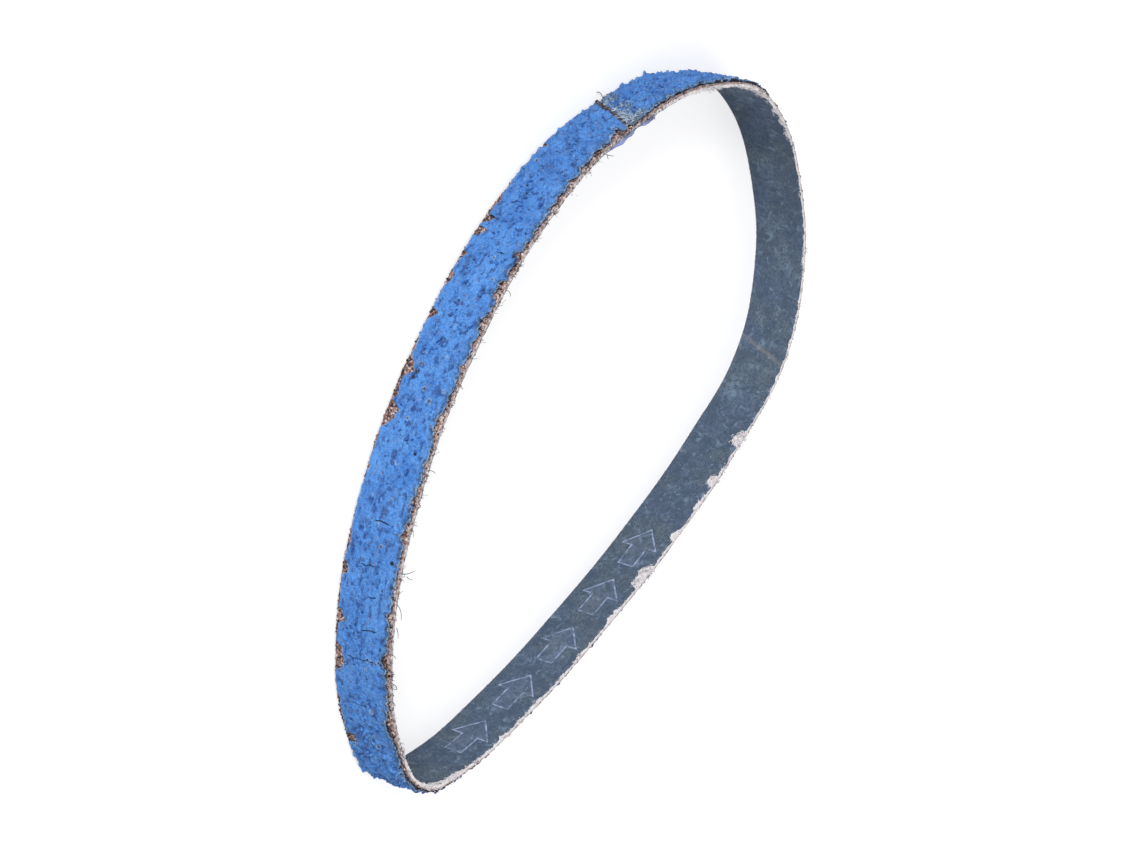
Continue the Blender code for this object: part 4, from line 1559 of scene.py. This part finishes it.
class SANDING_BELT_OT_threads(Operator):
    """Draws the loose threads that stand off the near edge"""

    bl_idname = "sanding_belt.threads"
    bl_label = "Loose threads"

    def execute(self, context):
        scene = context.scene
        sizes, detail, colours = scene.belt_sizes, scene.belt_detail, scene.belt_colours
        curve = bpy.data.curves.new("thread_paths", "CURVE")
        curve.dimensions = "3D"
        curve.bevel_depth = detail.thread_width / 2
        curve.bevel_resolution = 1
        curve.resolution_u = 8
        curve.use_fill_caps = True
        for share, points in THREADS:
            spline = curve.splines.new("NURBS")
            spline.points.add(len(points) - 1)
            spline.order_u = 4
            spline.use_endpoint_u = True
            for point, (x, y, z) in zip(spline.points, points):
                point.co = (share * sizes.length + x * MM, y * MM, z * MM, 1)
                point.radius = 1.0
            spline.points[-1].radius = 0.5
        guide = bpy.data.objects.new("thread_paths", curve)
        scene.collection.objects.link(guide)
        graph = context.evaluated_depsgraph_get()
        mesh = bpy.data.meshes.new_from_object(guide.evaluated_get(graph))
        bpy.data.objects.remove(guide)
        mesh.name = "loose_threads"
        tidy = bmesh.new()
        tidy.from_mesh(mesh)
        bmesh.ops.remove_doubles(tidy, verts=tidy.verts[:], dist=1e-7)
        tidy.to_mesh(mesh)
        tidy.free()
        keep_values(mesh, tint=np.full(len(mesh.vertices), 0.5), stain=np.zeros(len(mesh.vertices)))
        finish = fibre_finish("loose_thread", colours.thread, colours.fibre_dark)
        settle(mesh, finish, Loop(sizes), smooth_below=80)
        return {"FINISHED"}


class SANDING_BELT_OT_stage(Operator):
    """Sets the floor, the light all round, three broad lamps and the camera"""

    bl_idname = "sanding_belt.stage"
    bl_label = "Stage"

    def execute(self, context):
        scene = context.scene
        stage = scene.belt_stage
        self.floor(scene)
        self.sky(scene, stage)
        for name, width, place in LAMPS:
            self.lamp(scene, name, getattr(stage, name), width, Vector(place))
        self.camera(scene, stage)
        scene.view_settings.view_transform = "Standard"
        return {"FINISHED"}

    @staticmethod
    def floor(scene):
        bpy.ops.mesh.primitive_plane_add(size=FLOOR_SIZE, location=(0, 0, 0))
        floor = bpy.context.object
        floor.name = "pale_floor"
        floor.data.materials.append(floor_finish(scene.belt_colours))

    @staticmethod
    def sky(scene, stage):
        """Even light from all round, seen as white where the floor ends."""
        world = bpy.data.worlds.new("studio")
        world.use_nodes = True
        nodes, links = world.node_tree.nodes, world.node_tree.links
        background = nodes["Background"]
        background.inputs["Color"].default_value = (1, 1, 1, 1)
        path = nodes.new("ShaderNodeLightPath")
        seen = nodes.new("ShaderNodeMath")
        seen.operation = "MAXIMUM"
        links.new(path.outputs["Is Camera Ray"], seen.inputs[0])
        links.new(path.outputs["Is Transmission Ray"], seen.inputs[1])
        level = nodes.new("ShaderNodeMapRange")
        level.inputs["To Min"].default_value = stage.sky
        level.inputs["To Max"].default_value = 1
        links.new(seen.outputs[0], level.inputs["Value"])
        links.new(level.outputs["Result"], background.inputs["Strength"])
        scene.world = world

    @staticmethod
    def lamp(scene, name, power, size, place):
        light = bpy.data.lights.new(name, "AREA")
        light.energy = power
        light.size = size
        lamp = bpy.data.objects.new(name, light)
        lamp.location = place
        lamp.rotation_mode = "QUATERNION"
        lamp.rotation_quaternion = (-place).to_track_quat("-Z", "Y")
        scene.collection.objects.link(lamp)

    @staticmethod
    def camera(scene, stage):
        data = bpy.data.cameras.new("camera")
        data.lens = stage.lens
        data.sensor_width = SENSOR
        data.clip_start, data.clip_end = NEAREST, FARTHEST
        camera = bpy.data.objects.new("camera", data)
        level = math.cos(stage.elevation)
        back = Vector((
            math.sin(stage.azimuth) * level,
            -math.cos(stage.azimuth) * level,
            math.sin(stage.elevation),
        ))
        look = (-back).to_track_quat("-Z", "Y").to_matrix().to_4x4()
        place = Matrix.Translation(Vector(stage.target) + back * stage.distance)
        camera.matrix_world = place @ look @ Matrix.Rotation(stage.roll, 4, "Z")
        scene.collection.objects.link(camera)
        scene.camera = camera


class SANDING_BELT_PT_panel(Panel):
    """Lists the belt's settings and its operators"""

    bl_label = "Sanding belt"
    bl_idname = "SANDING_BELT_PT_panel"
    bl_space_type = "VIEW_3D"
    bl_region_type = "UI"
    bl_category = "Belt"

    def draw(self, context):
        for group in (getattr(context.scene, name) for name in SETTINGS):
            box = self.layout.box()
            for setting in group.__annotations__:
                box.prop(group, setting)
        for operator in OPERATORS:
            self.layout.operator(operator.bl_idname)


SETTINGS = {
    "belt_sizes": BeltSizes,
    "belt_detail": BeltDetail,
    "belt_colours": BeltColours,
    "belt_stage": BeltStage,
}
OPERATORS = (
    SANDING_BELT_OT_grain_coat,
    SANDING_BELT_OT_make_coat,
    SANDING_BELT_OT_cloth,
    SANDING_BELT_OT_print,
    SANDING_BELT_OT_splice_film,
    SANDING_BELT_OT_grit,
    SANDING_BELT_OT_crumbs,
    SANDING_BELT_OT_fringe,
    SANDING_BELT_OT_splice_curls,
    SANDING_BELT_OT_threads,
    SANDING_BELT_OT_stage,
)


def register():
    for group in (*SETTINGS.values(), *OPERATORS, SANDING_BELT_PT_panel):
        bpy.utils.register_class(group)
    for name, group in SETTINGS.items():
        setattr(bpy.types.Scene, name, PointerProperty(type=group))


def unregister():
    for name in SETTINGS:
        delattr(bpy.types.Scene, name)
    for group in reversed((*SETTINGS.values(), *OPERATORS, SANDING_BELT_PT_panel)):
        bpy.utils.unregister_class(group)


def main():
    register()
    for operator in OPERATORS:
        family, name = operator.bl_idname.split(".")
        getattr(getattr(bpy.ops, family), name)()


if __name__ == "__main__":
    main()
